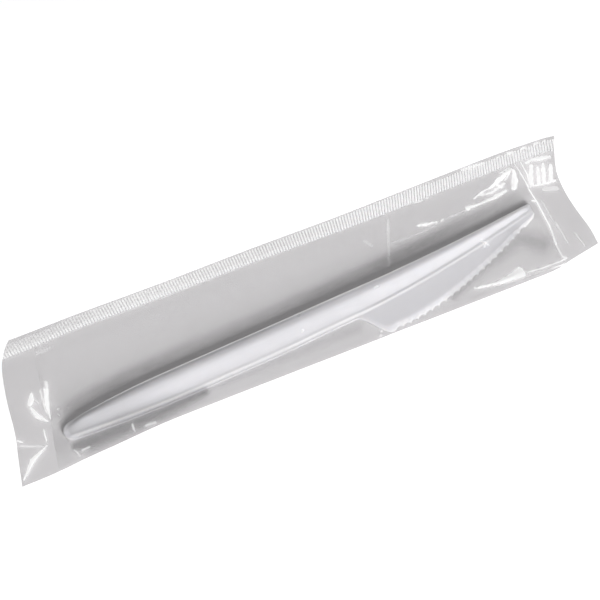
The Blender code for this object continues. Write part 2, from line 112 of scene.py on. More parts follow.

# Painted shade on the top of the handle's end, greyer where its thin plastic lets the grey beneath
# show: where it sets in from the back, from the bead and from the end, and where it leaves off along
# the handle
GREY_FROM_BACK = (0.0009, 0.0017)
GREY_FROM_BEAD = (0.0002, 0.0012)
GREY_FROM_END = (0.0010, 0.0025)
GREY_LENGTH = 0.045

# Film, its seals and how the knife lies in it
FILM = 0.00005
SEAL_THICKNESS = 0.00013
END_SEAL = 0.0115
FIN_WIDTH = 0.0052
FIN_LIP = 0.0002
FOLD_RADIUS = 0.0007
SEAL_LIFT = 0.0009
END_LIFT = 0.0005
FIN_RISE = 0.0004
KNIFE_TURN = math.radians(2.87)
CONTACT_GAP = 0.0003
TENT_GAP = 0.00012
TENT_SAG = 45.0
HANDLE_GAP = 0.0026
TIP_GAP = 0.0017
BELLY_GAP = 0.0006
SPARE_WIDTH = 0.0143
OPENING_SHARE = 0.75
UNDER_FIN_RUN = 0.008
TOP_FIN_RUN = 0.002

# Slack of the film at its edges: a place along or across as a share of the run, then a shift
HANDLE_END_SHIFT = ((0.0, -0.0030), (0.2, -0.0012), (0.35, 0.0002), (0.62, 0.0014),
                    (0.84, 0.0034), (0.95, 0.0060), (1.0, 0.0080))
TIP_END_SHIFT = ((0.0, 0.0008), (0.15, 0.0008), (0.35, 0.0), (0.55, -0.0006),
                 (0.70, -0.0002), (0.85, 0.0018), (1.0, 0.0046))
FOLD_SHIFT = ((0.0, -0.0027), (0.05, -0.0026), (0.10, -0.0017), (0.15, -0.0011), (0.22, -0.0002),
              (0.28, 0.0), (0.90, 0.0), (0.93, 0.0003), (0.96, 0.0013), (1.0, 0.0026))
FIN_SHIFT = ((0.0, -0.0005), (0.6, -0.0005), (0.78, -0.0002), (0.92, 0.0003), (0.98, -0.0002),
             (1.0, -0.0008))
HANDLE_END_SHEAR = 0.045
TIP_END_SHEAR = 0.014
CORNER_CURL = 0.0022
CURL_LENGTH = 0.020
WAVE_HEIGHT = 0.00025
WAVE_LENGTH = 0.060

# Uneven waves of the upper film, each with its height, length and seed, and how far from the
# fold they set in; then metres for each unit of a crease's height on the film and on its seals
SOFT_WAVES = ((0.00006, 0.016, 3), (0.00002, 0.006, 5))
FOLD_RUN = 0.003
CREASE_RISE = 0.001
SEAL_CREASE_RISE = 0.0005

# Crimp of the end seals
CRIMP_HEIGHT = 0.00002
CRIMP_PITCH = 0.0009
CRIMP_RUN = 0.001

# Ribs of the fin: shares of its length, then how far up they start and how far they lean
FIN_FOOT = ((0.0, 0.0), (0.10, 0.0003), (0.14, 0.0005), (0.50, 0.0003), (0.70, 0.0), (1.0, 0.0))
FIN_LEAN = ((0.0, 0.20), (0.45, 0.02), (0.60, -0.12), (0.72, -0.32), (0.82, -0.36), (1.0, -0.28))

# Ribs of the fin, with painted highlights on their crests and painted shade in their gaps: depth of
# the gaps' grey, least brightness at the handle and after it, fog with its share towards the blade,
# and the fog's speckle as height, length and seed
FIN_GAP_SHADE = 0.22
FIN_FAINT = (0.25, 0.55)
FIN_FOG = (0.18, 0.1)
FIN_SPECKLE = (0.12, 0.0011, 11)

# Where the ribs and the brighter painted highlights at their feet come and go, as shares of the fin's
# width
FIN_BAND = ((0.0, 0.06), (1.0, 0.94))
FIN_FEET = ((0.0, 0.10), (0.448, 0.168))

# Painted highlights of faint ribs beside the fin at the handle: where they come and go, along the
# pack and down from the fin, and how bright they are
FAINT_ROW_ALONG = ((-0.0965, -0.0945), (-0.0740, -0.0800))
FAINT_ROW_DOWN = ((0.0027, 0.0024), (0.0010, 0.0013))
FAINT_ROW_HIGHLIGHT = 0.25

# Creases of the film in millimetres on the pack, with painted highlights along them: places with the
# half width there, then how high the crease stands and how bright its painted highlight is
HANDLE_CREASES = (
    (((-87.7, 3.4, 0.3), (-88.5, 1.2, 1.0), (-89.6, -0.2, 0.7)), 0.25, 0.85),
    (((-89.4, -0.9, 0.4), (-88.4, -4.1, 0.8), (-85.9, -7.1, 0.2)), 0.25, 1.0),
    (((-83.1, 3.0, 0.7), (-84.4, -1.7, 0.7), (-84.9, -6.8, 0.12)), 0.25, 1.0),
    (((-84.8, 3.2, 0.25), (-85.4, -2.1, 0.2), (-85.3, -5.0, 0.15)), 0.15, 0.55),
    (((-82.3, 5.2, 0.5), (-82.8, 2.8, 0.6)), 0.15, 0.45),
    (((-88.0, 2.0, 0.2), (-86.4, -0.6, 0.2)), 0.15, 0.5),
    (((-87.9, -9.1, 0.2), (-88.1, -10.7, 0.3), (-88.3, -13.0, 0.2)), 0.2, 0.8),
    (((-88.5, -14.2, 0.12), (-94.3, -17.0, 0.8), (-98.7, -21.8, 0.2)), 0.25, 1.0),
    (((-96.6, -9.3, 0.35), (-95.1, -10.5, 0.2)), 0.15, 0.9),
    (((-97.1, -10.9, 0.2), (-94.1, -12.2, 0.25), (-88.9, -14.5, 0.15)), 0.15, 0.5),
    (((-82.0, -4.6, 0.25), (-81.3, -4.6, 0.25)), 0.0, 0.5),
    (((-82.2, -6.1, 0.2), (-81.9, -6.9, 0.2)), 0.0, 0.4),
    (((-78.7, -5.2, 0.2), (-78.6, -5.6, 0.2)), 0.0, 0.5),
    (((-62.6, -16.3, 0.2), (-62.0, -20.6, 0.25)), 0.12, 0.35),
    (((-81.3, -18.8, 0.2), (-80.2, -21.5, 0.25)), 0.12, 0.3),
    (((-58.6, -19.9, 0.4), (-55.0, -20.1, 0.5)), 0.1, 0.3),
    (((-79.2, -19.9, 0.3), (-76.7, -19.8, 0.3)), 0.1, 0.35),
)
MIDDLE_CREASES = (
    (((37.5, 15.7, 0.3), (34.2, 7.3, 0.3), (30.8, -0.6, 0.25)), 0.12, 0.26),
    (((27.5, 11.5, 0.2), (29.2, 8.9, 0.2)), 0.1, 0.3),
    (((20.8, -18.0, 0.2), (19.7, -20.4, 0.25)), 0.12, 0.35),
    (((-2.2, -5.2, 0.3), (-2.2, -5.6, 0.3)), 0.0, 0.5),
    (((-2.4, -10.0, 0.3), (-2.2, -10.6, 0.3)), 0.0, 0.5),
    (((24.1, -5.7, 0.25), (24.9, -5.7, 0.25)), 0.0, 0.4),
    (((45.1, 9.8, 0.25), (47.4, 9.2, 0.5), (51.7, 8.5, 0.3)), 0.2, 0.95),
    (((53.1, 8.4, 0.3), (53.9, 8.5, 0.3)), 0.15, 0.75),
    (((35.5, 7.5, 0.2), (39.8, 7.0, 0.2), (48.0, 7.2, 0.2), (54.1, 8.3, 0.2)), 0.12, 0.32),
    (((54.9, 8.6, 0.2), (58.5, 8.5, 0.25), (62.0, 8.8, 0.2)), 0.12, 0.35),
    (((46.9, 17.5, 0.4), (50.5, 16.8, 0.2)), 0.1, 0.8),
    (((51.0, 17.9, 0.3), (52.2, 17.0, 0.3)), 0.1, 0.7),
)
TIP_CREASES = (
    (((62.3, 9.2, 0.75), (67.2, 9.1, 0.35), (72.6, 9.5, 0.7), (77.0, 10.2, 0.4)), 0.25, 1.0),
    (((65.8, 11.4, 0.2), (69.2, 12.6, 0.3), (72.2, 12.9, 0.3)), 0.2, 0.7),
    (((68.1, 11.9, 0.25), (72.2, 11.3, 0.5), (77.4, 12.7, 0.5)), 0.2, 0.55),
    (((72.1, 12.7, 0.3), (75.6, 14.1, 0.8), (81.6, 16.6, 0.6)), 0.25, 0.9),
    (((77.4, 16.3, 0.3), (81.1, 17.2, 0.3)), 0.2, 0.9),
    (((74.3, 14.0, 0.3), (76.0, 11.5, 0.3)), 0.2, 0.9),
    (((77.9, 13.5, 0.3), (80.6, 15.4, 0.25)), 0.15, 0.6),
    (((82.0, 15.9, 0.35), (81.0, 12.4, 1.1), (79.4, 9.8, 0.8)), 0.3, 1.0),
    (((61.5, -3.3, 0.2), (63.7, -5.5, 0.2)), 0.1, 0.35),
    (((63.1, -3.8, 0.2), (61.8, -5.8, 0.2)), 0.1, 0.35),
    (((53.4, -16.8, 0.1), (60.4, -18.0, 0.55), (66.0, -17.7, 1.2), (69.6, -17.4, 2.0)), 0.3, 1.0),
    (((53.4, -17.1, 0.2), (64.5, -19.0, 0.2), (69.9, -19.4, 0.2), (83.6, -20.2, 0.2)), 0.1, 0.45),
    (((71.2, -18.2, 0.25), (76.5, -18.7, 0.35), (84.5, -18.9, 0.2)), 0.15, 0.75),
    (((83.4, 17.8, 0.2), (83.9, 12.7, 0.25), (84.1, 8.3, 0.3)), 0.2, 0.8),
    (((85.4, 17.6, 0.25), (85.6, 12.9, 0.3), (84.8, 8.4, 0.25)), 0.2, 0.8),
    (((83.9, 8.0, 0.25), (84.4, 2.4, 0.3), (84.6, -6.7, 0.3), (83.7, -13.1, 0.3)), 0.25, 1.0),
    (((82.8, 3.9, 0.35), (84.2, 3.2, 0.35)), 0.2, 1.0),
    (((83.6, -13.1, 0.2), (83.6, -17.4, 0.3), (84.5, -18.8, 0.5)), 0.2, 0.6),
    (((87.1, -6.2, 0.2), (87.2, -14.1, 0.2)), 0.12, 0.5),
    (((86.0, 3.1, 0.2), (86.7, -8.4, 0.2)), 0.12, 0.3),
    (((90.7, -11.8, 0.25), (91.6, -17.6, 0.2)), 0.12, 0.35),
    (((88.2, 15.4, 0.6), (86.6, 12.0, 0.75), (85.3, 8.8, 0.6)), 0.2, 1.0),
    (((89.9, 14.0, 0.45), (87.7, 8.3, 0.65)), 0.2, 1.0),
    (((92.0, 14.6, 0.35), (91.3, 12.6, 0.7), (89.4, 8.0, 0.55)), 0.2, 0.95),
    (((94.1, 13.0, 0.6), (91.9, 8.2, 0.7)), 0.2, 1.0),
    (((84.9, 8.6, 0.3), (89.0, 7.8, 0.35), (93.3, 7.4, 0.4)), 0.15, 0.9),
    (((86.8, 16.6, 0.5), (89.4, 17.0, 0.5), (91.6, 16.4, 0.8), (95.1, 15.7, 0.5)), 0.15, 0.95),
    (((88.2, 6.1, 0.7), (92.8, 4.7, 0.8)), 0.1, 0.3),
)
FIN_CREASES = (
    (((66.4, 22.1, 0.4), (70.0, 22.05, 0.5), (73.8, 21.8, 0.4)), 0.0, 1.0),
    (((79.0, 22.0, 0.3), (80.0, 22.0, 0.3)), 0.0, 0.9),
    (((82.6, 21.9, 0.45), (84.6, 21.9, 0.45)), 0.0, 1.0),
    (((87.7, 21.8, 0.4), (89.2, 21.9, 0.4)), 0.0, 1.0),
    (((92.2, 21.8, 0.35), (93.6, 21.8, 0.35)), 0.0, 1.0),
    (((95.4, 21.6, 0.3), (96.2, 21.6, 0.3)), 0.0, 0.9),
)
CREASES = HANDLE_CREASES + MIDDLE_CREASES + TIP_CREASES

# Painted shade: soft grey patches of the film in millimetres on the pack: places with the reach
# there, then how deep the patch is
PAINTED_SHADES = (
    (((-80.5, -17.8, 1.6), (-76.0, -18.2, 2.8), (-64.0, -17.7, 3.0), (-52.0, -17.4, 2.6),
      (-38.0, -16.6, 1.6)), 0.85),
    (((-44.0, -16.6, 1.8), (0.0, -15.2, 2.0), (14.0, -15.0, 2.2)), 0.22),
    (((46.0, -17.0, 1.2), (62.0, -11.0, 1.6), (74.0, -6.5, 3.0), (80.0, -11.0, 3.5)), 0.35),
    (((-84.5, -16.0, 4.0), (-92.0, -8.0, 4.0)), 0.22),
)

# Painted shadow: a grey band of the film behind the knife's back, deepening the knife's shadow there:
# places along the knife, each with its depth
SHADOW_BAND_DEPTHS = ((0.0, 0.15), (0.020, 0.30), (0.060, 0.17), (0.100, 0.27), (0.115, 0.48),
               (0.130, 0.46), (0.145, 0.25), (0.160, 0.12), (0.175, 0.0))
SHADOW_BAND_OFFSET = 0.0046
SHADOW_BAND_REACH = 0.0020

# How uneven and how soft the painted highlight lines are, in millimetres, and how far a crease
# reaches past one
LINE_WANDER = 0.10
LINE_WANDER_LENGTH = 1.8
LINE_SOFTNESS = 0.32
CREASE_FOOT = 0.5

# Millimetres in a metre
MM = 1000.0

# Steps of the film's drape, of the knife's heights under it and of the meshes
TENT_ROWS = 96
TENT_STRETCH = 1.2
TENT_ROUNDS = 7000
TENT_FOOT = 0.0004
TOPS_STEP = 0.0004
TOPS_STEP_ACROSS = 0.0002
TOPS_REACH = (-0.020, 0.005)
TOPS_MARGIN = 0.0005
TOOTH_STEPS = 10
RIB_STEPS = 6
CRINKLED_START = 0.014
CRINKLED_END = 0.040

# Angles in degrees beyond which an edge stays sharp
KNIFE_ANGLE = 38.0
PANEL_ANGLE = 40.0
END_SEAL_ANGLE = 50.0
FIN_ANGLE = 60.0


def mix(start, end, share):
    """Value a share of the way from the start to the end."""
    return start + (end - start) * share


def ease(share):
    """Share that leaves and arrives level."""
    share = np.clip(share, 0.0, 1.0)
    return share * share * (3.0 - 2.0 * share)


def ramp(value, start, end):
    """Nothing up to the start and the whole past the end, whichever of them is greater."""
    return ease((value - start) / (end - start))


def window(value, rise, fall):
    """The whole between two ramps and nothing beyond them."""
    return ramp(value, *rise) * ramp(value, *fall)


def quarter_round(share):
    """Height of a quarter circle of unit radius, from its foot to its crown."""
    return np.sqrt(1.0 - (1.0 - np.clip(share, 0.0, 1.0)) ** 2)


def smooth_curve(points, place):
    """Value at each place on the smooth curve through points that rise in their first number."""
    places, values = np.array(points).T
    place = np.clip(place, places[0], places[-1])
    k = np.clip(np.searchsorted(places, place) - 1, 0, len(places) - 2)
    before, after = np.maximum(k - 1, 0), np.minimum(k + 2, len(places) - 1)
    run = places[k + 1] - places[k]
    slope_start = (values[k + 1] - values[before]) / (places[k + 1] - places[before]) * run
    slope_end = (values[after] - values[k]) / (places[after] - places[k]) * run
    t = (place - places[k]) / run
    return ((1 + 2 * t) * (1 - t) ** 2 * values[k] + t * (1 - t) ** 2 * slope_start
            + t * t * (3 - 2 * t) * values[k + 1] + t * t * (t - 1) * slope_end)


def waves(x, y, length, seed, count=9):
    """Smooth uneven waves of about unit height with the given length between their crests."""
    turns = np.random.RandomState(seed)
    total = np.zeros(np.broadcast(x, y).shape)
    for _ in range(count):
        angle, phase = turns.uniform(0.0, math.tau, 2)
        pace = math.tau / (length * turns.uniform(0.6, 1.6))
        total = total + np.sin(pace * (x * math.cos(angle) + y * math.sin(angle)) + phase)
    return total / math.sqrt(count)


# Knife form

def back_line(s):
    """Upper edge of the knife's outline."""
    taper = BACK_TAPER * np.clip(1.0 - s / BACK_TAPER_LENGTH, 0.0, 1.0) ** 2
    run = np.clip((s - KNIFE_LENGTH + TIP_RISE_LENGTH) / TIP_RISE_LENGTH, 0.0, 1.0)
    return TIP_RISE * run ** TIP_RISE_CURVE - taper


def handle_line(s):
    """Lower edge of the handle."""
    taper = EDGE_TAPER * np.clip(1.0 - s / EDGE_TAPER_LENGTH, 0.0, 1.0) ** 2
    neck = (HANDLE_WIDTH - NECK_WIDTH) * ramp(s, PALM_LENGTH, HANDLE_LENGTH)
    return taper + neck - HANDLE_WIDTH


def blade_line(s):
    """Cutting edge, before its scallops."""
    belly = HANDLE_LENGTH + BELLY_LENGTH
    run = np.clip((s - belly) / (KNIFE_LENGTH - belly), 0.0, 1.0)
    return mix(-BLADE_DEPTH, -TIP_DEPTH, run ** EDGE_CURVE)


def lower_line(s):
    """Lower edge of the knife's outline, through the S of the heel."""
    return mix(handle_line(s), blade_line(s), heel_share(s))


def heel_share(s):
    """Nothing on the handle and the whole on the blade."""
    return ramp(s, HANDLE_LENGTH, HANDLE_LENGTH + HEEL_LENGTH)


def blade_share(s):
    """How far along the blade a place is, and nothing on the handle."""
    return np.clip((s - HANDLE_LENGTH) / (KNIFE_LENGTH - HANDLE_LENGTH), 0.0, 1.0)


def arch_width(s):
    """Width of the handle's arch, and of the rib that it becomes along the blade."""
    on_handle = back_line(s) - handle_line(s) - FRONT_RIM
    on_blade = mix(NECK_WIDTH - FRONT_RIM, RIB_TIP_WIDTH, blade_share(s) ** RIB_TAPER_CURVE)
    return np.where(s < HANDLE_LENGTH, on_handle, on_blade)


def crest_height(s):
    """Height of the arch or rib over the knife's flat underside."""
    crest = mix(ARCH_HEIGHT, RIB_TIP_HEIGHT, blade_share(s) ** RIB_DROP_CURVE)
    ends = ease(s / ARCH_RISE_LENGTH) * ease((KNIFE_LENGTH - s) / ARCH_FALL_LENGTH)
    return PLATE + (crest - PLATE) * ends


def end_inset(s):
    """How far both edges come in at the handle's round end and at the tip's round corners."""
    radius = 0.5 * (back_line(0.0) - handle_line(0.0))
    handle = radius * (1.0 - quarter_round(s / radius))
    tip = TIP_RADIUS * (1.0 - quarter_round((KNIFE_LENGTH - s) / TIP_RADIUS))
    return np.where(s < radius, handle, np.where(s > KNIFE_LENGTH - TIP_RADIUS, tip, 0.0))


# Share of the way across each part of the section, and of the bead with its height
RIM_SHARES = (0.0, 0.08, 0.22, 0.45, 0.72)
ARCH_SHARES = (0.0, 0.004, 0.012, 0.030, 0.048, 0.062, 0.072, 0.090, 0.115, 0.15, 0.20, 0.26, 0.32,
               0.38, 0.45, 0.52, 0.59, 0.66, 0.73, 0.80, 0.86, 0.91, 0.96)
BEAD_STEPS = ((0.0, 0.20), (0.14, 0.32), (0.28, 0.66), (0.42, 0.95), (0.52, 1.0), (0.64, 0.84),
              (0.76, 0.48), (0.88, 0.14), (1.0, 0.0))
WEB_SHARES = (0.06, 0.16, 0.30, 0.44, 0.58, 0.72, 0.86)
BEVEL_SHARES = (0.0, 0.25, 0.5, 0.75, 0.86, 0.95, 1.0)


def arch_profile(share, drop):
    """Height of the arch over its foot: a wall at the back, a low dome and a soft fall in front."""
    rise = ARCH_CREST - BACK_LEDGE
    behind = 1.0 - drop * np.clip((ARCH_CREST - share) / rise, 0.0, 1.0) ** 2
    run = np.clip((share - ARCH_CREST) / (1.0 - ARCH_CREST), 0.0, 1.0)
    ahead = 1.0 - run * run * (2.65 - 1.65 * run)
    return mix(0.55, 1.0, quarter_round(share / BACK_CORNER)) * behind * ahead


def knife_section(s, scallop):
    """Columns across the knife at each place: how far across, top height and underside height."""
    back, front = back_line(s), lower_line(s)
    crest = crest_height(s)
    bow = arch_width(s) - BACK_RIM - np.minimum(BEAD_START, 0.3 * arch_width(s))
    plate = np.full_like(s, PLATE)
    size = (crest - PLATE) / (ARCH_HEIGHT - PLATE)
    foot = BEAD_HEIGHT * size
    drop = mix(HANDLE_BACK_DROP, BLADE_BACK_DROP, ramp(s, *BACK_DROP_CHANGE))
    rim = HANDLE_RIM_RISE * size * (1.0 - heel_share(s))
    columns = [(back - share * BACK_RIM, plate, 0.0 * s) for share in RIM_SHARES]
    for share in ARCH_SHARES:
        low = plate + rim + BEAD_STEPS[0][1] * foot
        top = low + (crest - low) * arch_profile(share, drop)
        under = np.where(share * bow < WALL, 0.0, np.maximum(0.0, top - WALL))
        columns.append((back - BACK_RIM - share * bow, top, under))
    bead_start = back - BACK_RIM - bow
    web_start = back - arch_width(s) - BEAD_END
    for share, rise in BEAD_STEPS:
        top = plate + rim * (1.0 - share) + rise * foot
        columns.append((mix(bead_start, web_start, share), top, 0.0 * s))
    bevel = np.minimum(CUTTING_BEVEL, 0.5 * (web_start - front))
    for share in WEB_SHARES:
        columns.append((mix(web_start, front + bevel, share), plate, 0.0 * s))
    edge = mix(PLATE, CUTTING_EDGE, heel_share(s))
    for share in BEVEL_SHARES:
        columns.append((mix(front + bevel, front + scallop, share), mix(plate, edge, share), 0.0 * s))
    across, top, under = (np.stack(values, axis=-1) for values in zip(*columns))
    return round_edges(s, back, front, across, top, under)


def round_edges(s, back, front, across, top, under):
    """Bring the outline in at both ends and round its upper and lower corners."""
    middle = 0.5 * (back + front)[..., None]
    narrow = 1.0 - 2.0 * (end_inset(s) / (back - front))[..., None]
    across = middle + (across - middle) * narrow
    radius = 0.5 * (back_line(0.0) - handle_line(0.0))
    along = s[..., None]
    from_end = radius - np.hypot(np.minimum(along - radius, 0.0), across - middle)
    from_end = np.where(along < radius, from_end, 1.0)
    near = np.minimum(np.minimum(across[..., :1] - across, across - across[..., -1:]), from_end)
    near = np.minimum(near, KNIFE_LENGTH - along)
    size = np.minimum(EDGE_ROUND, 0.45 * (top - under))
    drop = size * (1.0 - quarter_round(near / size))
    return across, top - drop, under + 0.4 * drop


def knife_to_pack(s, across, height):
    """Place of knife points in the pack, with the knife's underside just clear of the film."""
    turn_cos, turn_sin = math.cos(KNIFE_TURN), math.sin(KNIFE_TURN)
    x = s * turn_cos - across * turn_sin
    y = s * turn_sin + across * turn_cos
    return np.stack(np.broadcast_arrays(x, y, FILM + CONTACT_GAP + height), axis=-1)


def pack_to_knife(x, y):
    """How far along and across the knife points of the pack are."""
    turn_cos, turn_sin = math.cos(KNIFE_TURN), math.sin(KNIFE_TURN)
    return x * turn_cos + y * turn_sin, y * turn_cos - x * turn_sin


def painted_back_shadow(x, y):
    """How deep the painted shadow band of the film behind the knife's back is, over points of the
    pack.
    """
    s, across = pack_to_knife(x, y)
    behind = across - back_line(s)
    return smooth_curve(SHADOW_BAND_DEPTHS, s) * np.exp(-((behind - SHADOW_BAND_OFFSET) / SHADOW_BAND_REACH) ** 2)


def knife_masks(s, points, across):
    """How white the knife's painted highlights are on its lines, bevel and teeth, and how grey its
    painted shade is at the handle's end.
    """
    from_edge = across - across[:, -1:]
    from_back = across[:, :1] - across
    from_bead = arch_width(s)[:, None] - from_back
    bevel = ramp(from_edge, CUTTING_BEVEL, 0.0) * heel_share(s)[:, None]
    teeth = ramp(s, TEETH_START, TEETH_START + TEETH_RUN) * ease(2.2 * points - 0.5)
    white = np.maximum(BEVEL_HIGHLIGHT * bevel, teeth[:, None] * ease(1.5 - from_edge / TEETH_HIGHLIGHT))
    for place, (inset, half, bright) in ((from_back, BACK_HIGHLIGHT), (from_bead, BEAD_HIGHLIGHT)):
        white = np.maximum(white, bright * ease(1.6 - np.abs(place - inset) / half))
    grey = ramp(from_back, *GREY_FROM_BACK) * ramp(from_bead, *GREY_FROM_BEAD)
    return white, grey * window(s, GREY_FROM_END, (GREY_LENGTH, 0.0))[:, None]


def knife_stations(pitch):
    """Places along the knife, closer at its round ends and on the teeth, and each tooth's share."""
    radius = 0.5 * (back_line(0.0) - handle_line(0.0))
    end = radius * (1.0 - np.cos(np.radians(np.linspace(5.0, 90.0, 15)[:-1])))
    handle = np.linspace(radius, HANDLE_LENGTH, 64)[:-1]
    heel = np.linspace(HANDLE_LENGTH, TEETH_START, 28)[:-1]
    teeth = int((KNIFE_LENGTH - 2.0 * TIP_RADIUS - TEETH_START) / pitch)
    blade = TEETH_START + pitch * np.arange(teeth * TOOTH_STEPS + 1) / TOOTH_STEPS
    left = np.linspace(blade[-1], KNIFE_LENGTH - TIP_RADIUS, 5)[1:]
    tip = KNIFE_LENGTH - TIP_RADIUS * (1.0 - np.sin(np.radians(np.linspace(0.0, 86.0, 9)[1:])))
    stations = np.concatenate([end, handle, heel, blade, left, tip])
    toothed = (stations >= TEETH_START - 1e-9) & (stations <= blade[-1] + 1e-9)
    phase = np.where(toothed, (stations - TEETH_START) / pitch, 0.0)
    return stations, phase


# Pack form

class Pouch:
    """Lines of the pack, all worked out from the knife that it holds."""

    def __init__(self):
        stations, _ = knife_stations(TOOTH_PITCH)
        across, _, _ = knife_section(stations, 0.0 * stations)
        points = knife_to_pack(stations[:, None], across, 0.0)
        low, high = points.min(axis=(0, 1)), points.max(axis=(0, 1))
        self.start = low[0] - HANDLE_GAP
        self.end = high[0] + TIP_GAP
        self.outer_start = self.start - END_SEAL
        self.outer_end = self.end + END_SEAL
        self.length = self.outer_end - self.outer_start
        self.fold = low[1] - BELLY_GAP
        self.depth = high[1] + SPARE_WIDTH - self.fold
        self.width = self.depth + FIN_WIDTH
        _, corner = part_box("knife")
        self.shift = np.array([corner.x - high[0], corner.y - high[1]])

    def place(self, along, across):
        """Points seen from above: along the pack, and across it from the fold."""
        run = (along - self.outer_start) / self.length
        fold = self.fold + smooth_curve(FOLD_SHIFT, run)
        fin = self.fold + self.width + smooth_curve(FIN_SHIFT, run)
        share = across / self.width
        at_start = ramp(along, self.outer_start + HANDLE_END_SHEAR, self.outer_start)
        at_end = ramp(along, self.outer_end - TIP_END_SHEAR, self.outer_end)
        x = (along + at_start * smooth_curve(HANDLE_END_SHIFT, share)
             + at_end * smooth_curve(TIP_END_SHIFT, share))
        return x, mix(fold, fin, share)

    def open_share(self, along, across, fin_run):
        """Nothing in the seals, and the whole where the knife starts."""
        from_ends = np.minimum((along - self.start) / HANDLE_GAP, (self.end - along) / TIP_GAP)
        return ease(from_ends / OPENING_SHARE) * ease((self.depth - across) / fin_run)

    def seal_height(self, along, across):
        """Middle of the sealed film: waved a little, and curled up at the blade's corner."""
        wave = WAVE_HEIGHT * np.sin(2.0 * math.pi * along / WAVE_LENGTH)
        fin = ramp(across, 0.5 * self.depth, self.depth)
        from_corner = np.hypot(self.outer_end - along, across)
        curl = CORNER_CURL * ease(1.0 - from_corner / CURL_LENGTH)
        droop = np.minimum(along - self.outer_start, self.outer_end - along) / END_SEAL
        lift = mix(END_LIFT, SEAL_LIFT, np.clip(np.maximum(droop, fin), 0.0, 1.0))
        return lift + fin * FIN_RISE + wave * fin + curl

    def under(self, along, across):
        """Height of the pack's outer underside."""
        nose = quarter_round(across / FOLD_RADIUS) * FOLD_RADIUS
        laid = FOLD_RADIUS - np.maximum(0.5 * SEAL_THICKNESS, nose)
        sealed = self.seal_height(along, across) - 0.5 * SEAL_THICKNESS
        return mix(sealed, laid, self.open_share(along, across, UNDER_FIN_RUN))

    def fold_top(self, along, across):
        """Height of the pack's outer top where it turns round the fold."""
        nose = quarter_round(across / FOLD_RADIUS) * FOLD_RADIUS
        laid = FOLD_RADIUS + np.maximum(0.5 * SEAL_THICKNESS, nose)
        sealed = self.seal_height(along, across) + 0.5 * SEAL_THICKNESS
        return mix(sealed, laid, self.open_share(along, across, TOP_FIN_RUN))

    def on_pack(self, along, across):
        """Points seen from above, in the frame of the finished object."""
        x, y = self.place(along, across)
        return x + self.shift[0], y + self.shift[1]


def grid_value(alongs, acrosses, heights, along, across):
    """Value between the points of an even grid."""
    u = np.clip((along - alongs[0]) / (alongs[1] - alongs[0]), 0.0, len(alongs) - 1.001)
    v = np.clip((across - acrosses[0]) / (acrosses[1] - acrosses[0]), 0.0, len(acrosses) - 1.001)
    i, j = u.astype(int), v.astype(int)
    u, v = u - i, v - j
    near = mix(heights[i, j], heights[i + 1, j], u)
    far = mix(heights[i, j + 1], heights[i + 1, j + 1], u)
    return mix(near, far, v)


def knife_tops():
    """Heights of the knife's top on an even grid along and across it, nought beside it."""
    stations = np.arange(0.0, KNIFE_LENGTH, TOPS_STEP)
    across, top, _ = knife_section(stations, 0.0 * stations)
    places = np.arange(*TOPS_REACH, TOPS_STEP_ACROSS)
    rows = [np.interp(places, a[::-1], t[::-1], left=0.0, right=0.0) for a, t in zip(across, top)]
    return stations, places, np.array(rows)


def spread_most(values):
    """Greatest value of each point and its eight neighbours."""
    padded = np.pad(values, 1, mode="edge")
    n, m = values.shape
    return np.max([padded[i:i + n, j:j + m] for i in range(3) for j in range(3)], axis=0)


def tent(pouch):
    """Film drawn over the knife, from the fold to the fin and from end seal to end seal.

    Each point settles just below the middle of its neighbours unless something holds it up, so the
    film comes down beside the knife and lies on the film beneath.
    """
    across = np.linspace(FOLD_RADIUS, pouch.depth, TENT_ROWS)
    step = across[1] - across[0]
    columns = 1 + int((pouch.end - pouch.start) / (TENT_STRETCH * step))
    along = np.linspace(pouch.start, pouch.end, columns)
    a, c = np.meshgrid(along, across, indexing="ij")
    spread = np.minimum(np.minimum(a - pouch.start, pouch.end - a), pouch.depth - c)
    foot = np.minimum(TENT_FOOT, 0.15 * np.maximum(0.0, spread))
    least = pouch.under(a, c) + SEAL_THICKNESS + foot
    s, t = pack_to_knife(*pouch.place(a, c))
    stations, places, tops = knife_tops()
    low, high = TOPS_REACH
    inside = (s > 0.0) & (s < KNIFE_LENGTH - TOPS_STEP)
    inside = inside & (t > low + TOPS_MARGIN) & (t < high - TOPS_MARGIN)
    top = np.where(inside, grid_value(stations, places, tops, s, t), 0.0)
    top = spread_most(top)
    least = np.where(top > 0.0, np.maximum(least, 2.0 * FILM + CONTACT_GAP + top + TENT_GAP), least)
    height = least.copy()
    half = 0.5 * SEAL_THICKNESS
    height[0] = pouch.seal_height(along[0], across) + half
    height[-1] = pouch.seal_height(along[-1], across) + half
    height[:, -1] = pouch.seal_height(along, across[-1]) + half
    height[:, 0] = pouch.fold_top(along, across[0])
    pull = (step / (along[1] - along[0])) ** 2
    sag = TENT_SAG * step * step
    for _ in range(TENT_ROUNDS):
        across_sum = height[1:-1, :-2] + height[1:-1, 2:]
        along_sum = height[:-2, 1:-1] + height[2:, 1:-1]
        middle = (across_sum + pull * along_sum - sag) / (2.0 + 2.0 * pull)
        height[1:-1, 1:-1] = np.maximum(middle, least[1:-1, 1:-1])
    return along, across, height, least


def runs(points, x, y):
    """For each straight run of a line: how far places are beside it and past it, and its width."""
    for start, end in zip(points[:-1], points[1:]):
        run = np.array(end[:2]) - np.array(start[:2])
        length = math.hypot(*run)
        t = ((x - start[0]) * run[0] + (y - start[1]) * run[1]) / length ** 2
        past = (np.maximum(t - 1.0, 0.0) + np.maximum(-t, 0.0)) * length
        aside = np.abs((x - start[0]) * run[1] - (y - start[1]) * run[0]) / length
        yield aside, past, mix(start[2], end[2], np.clip(t, 0.0, 1.0))


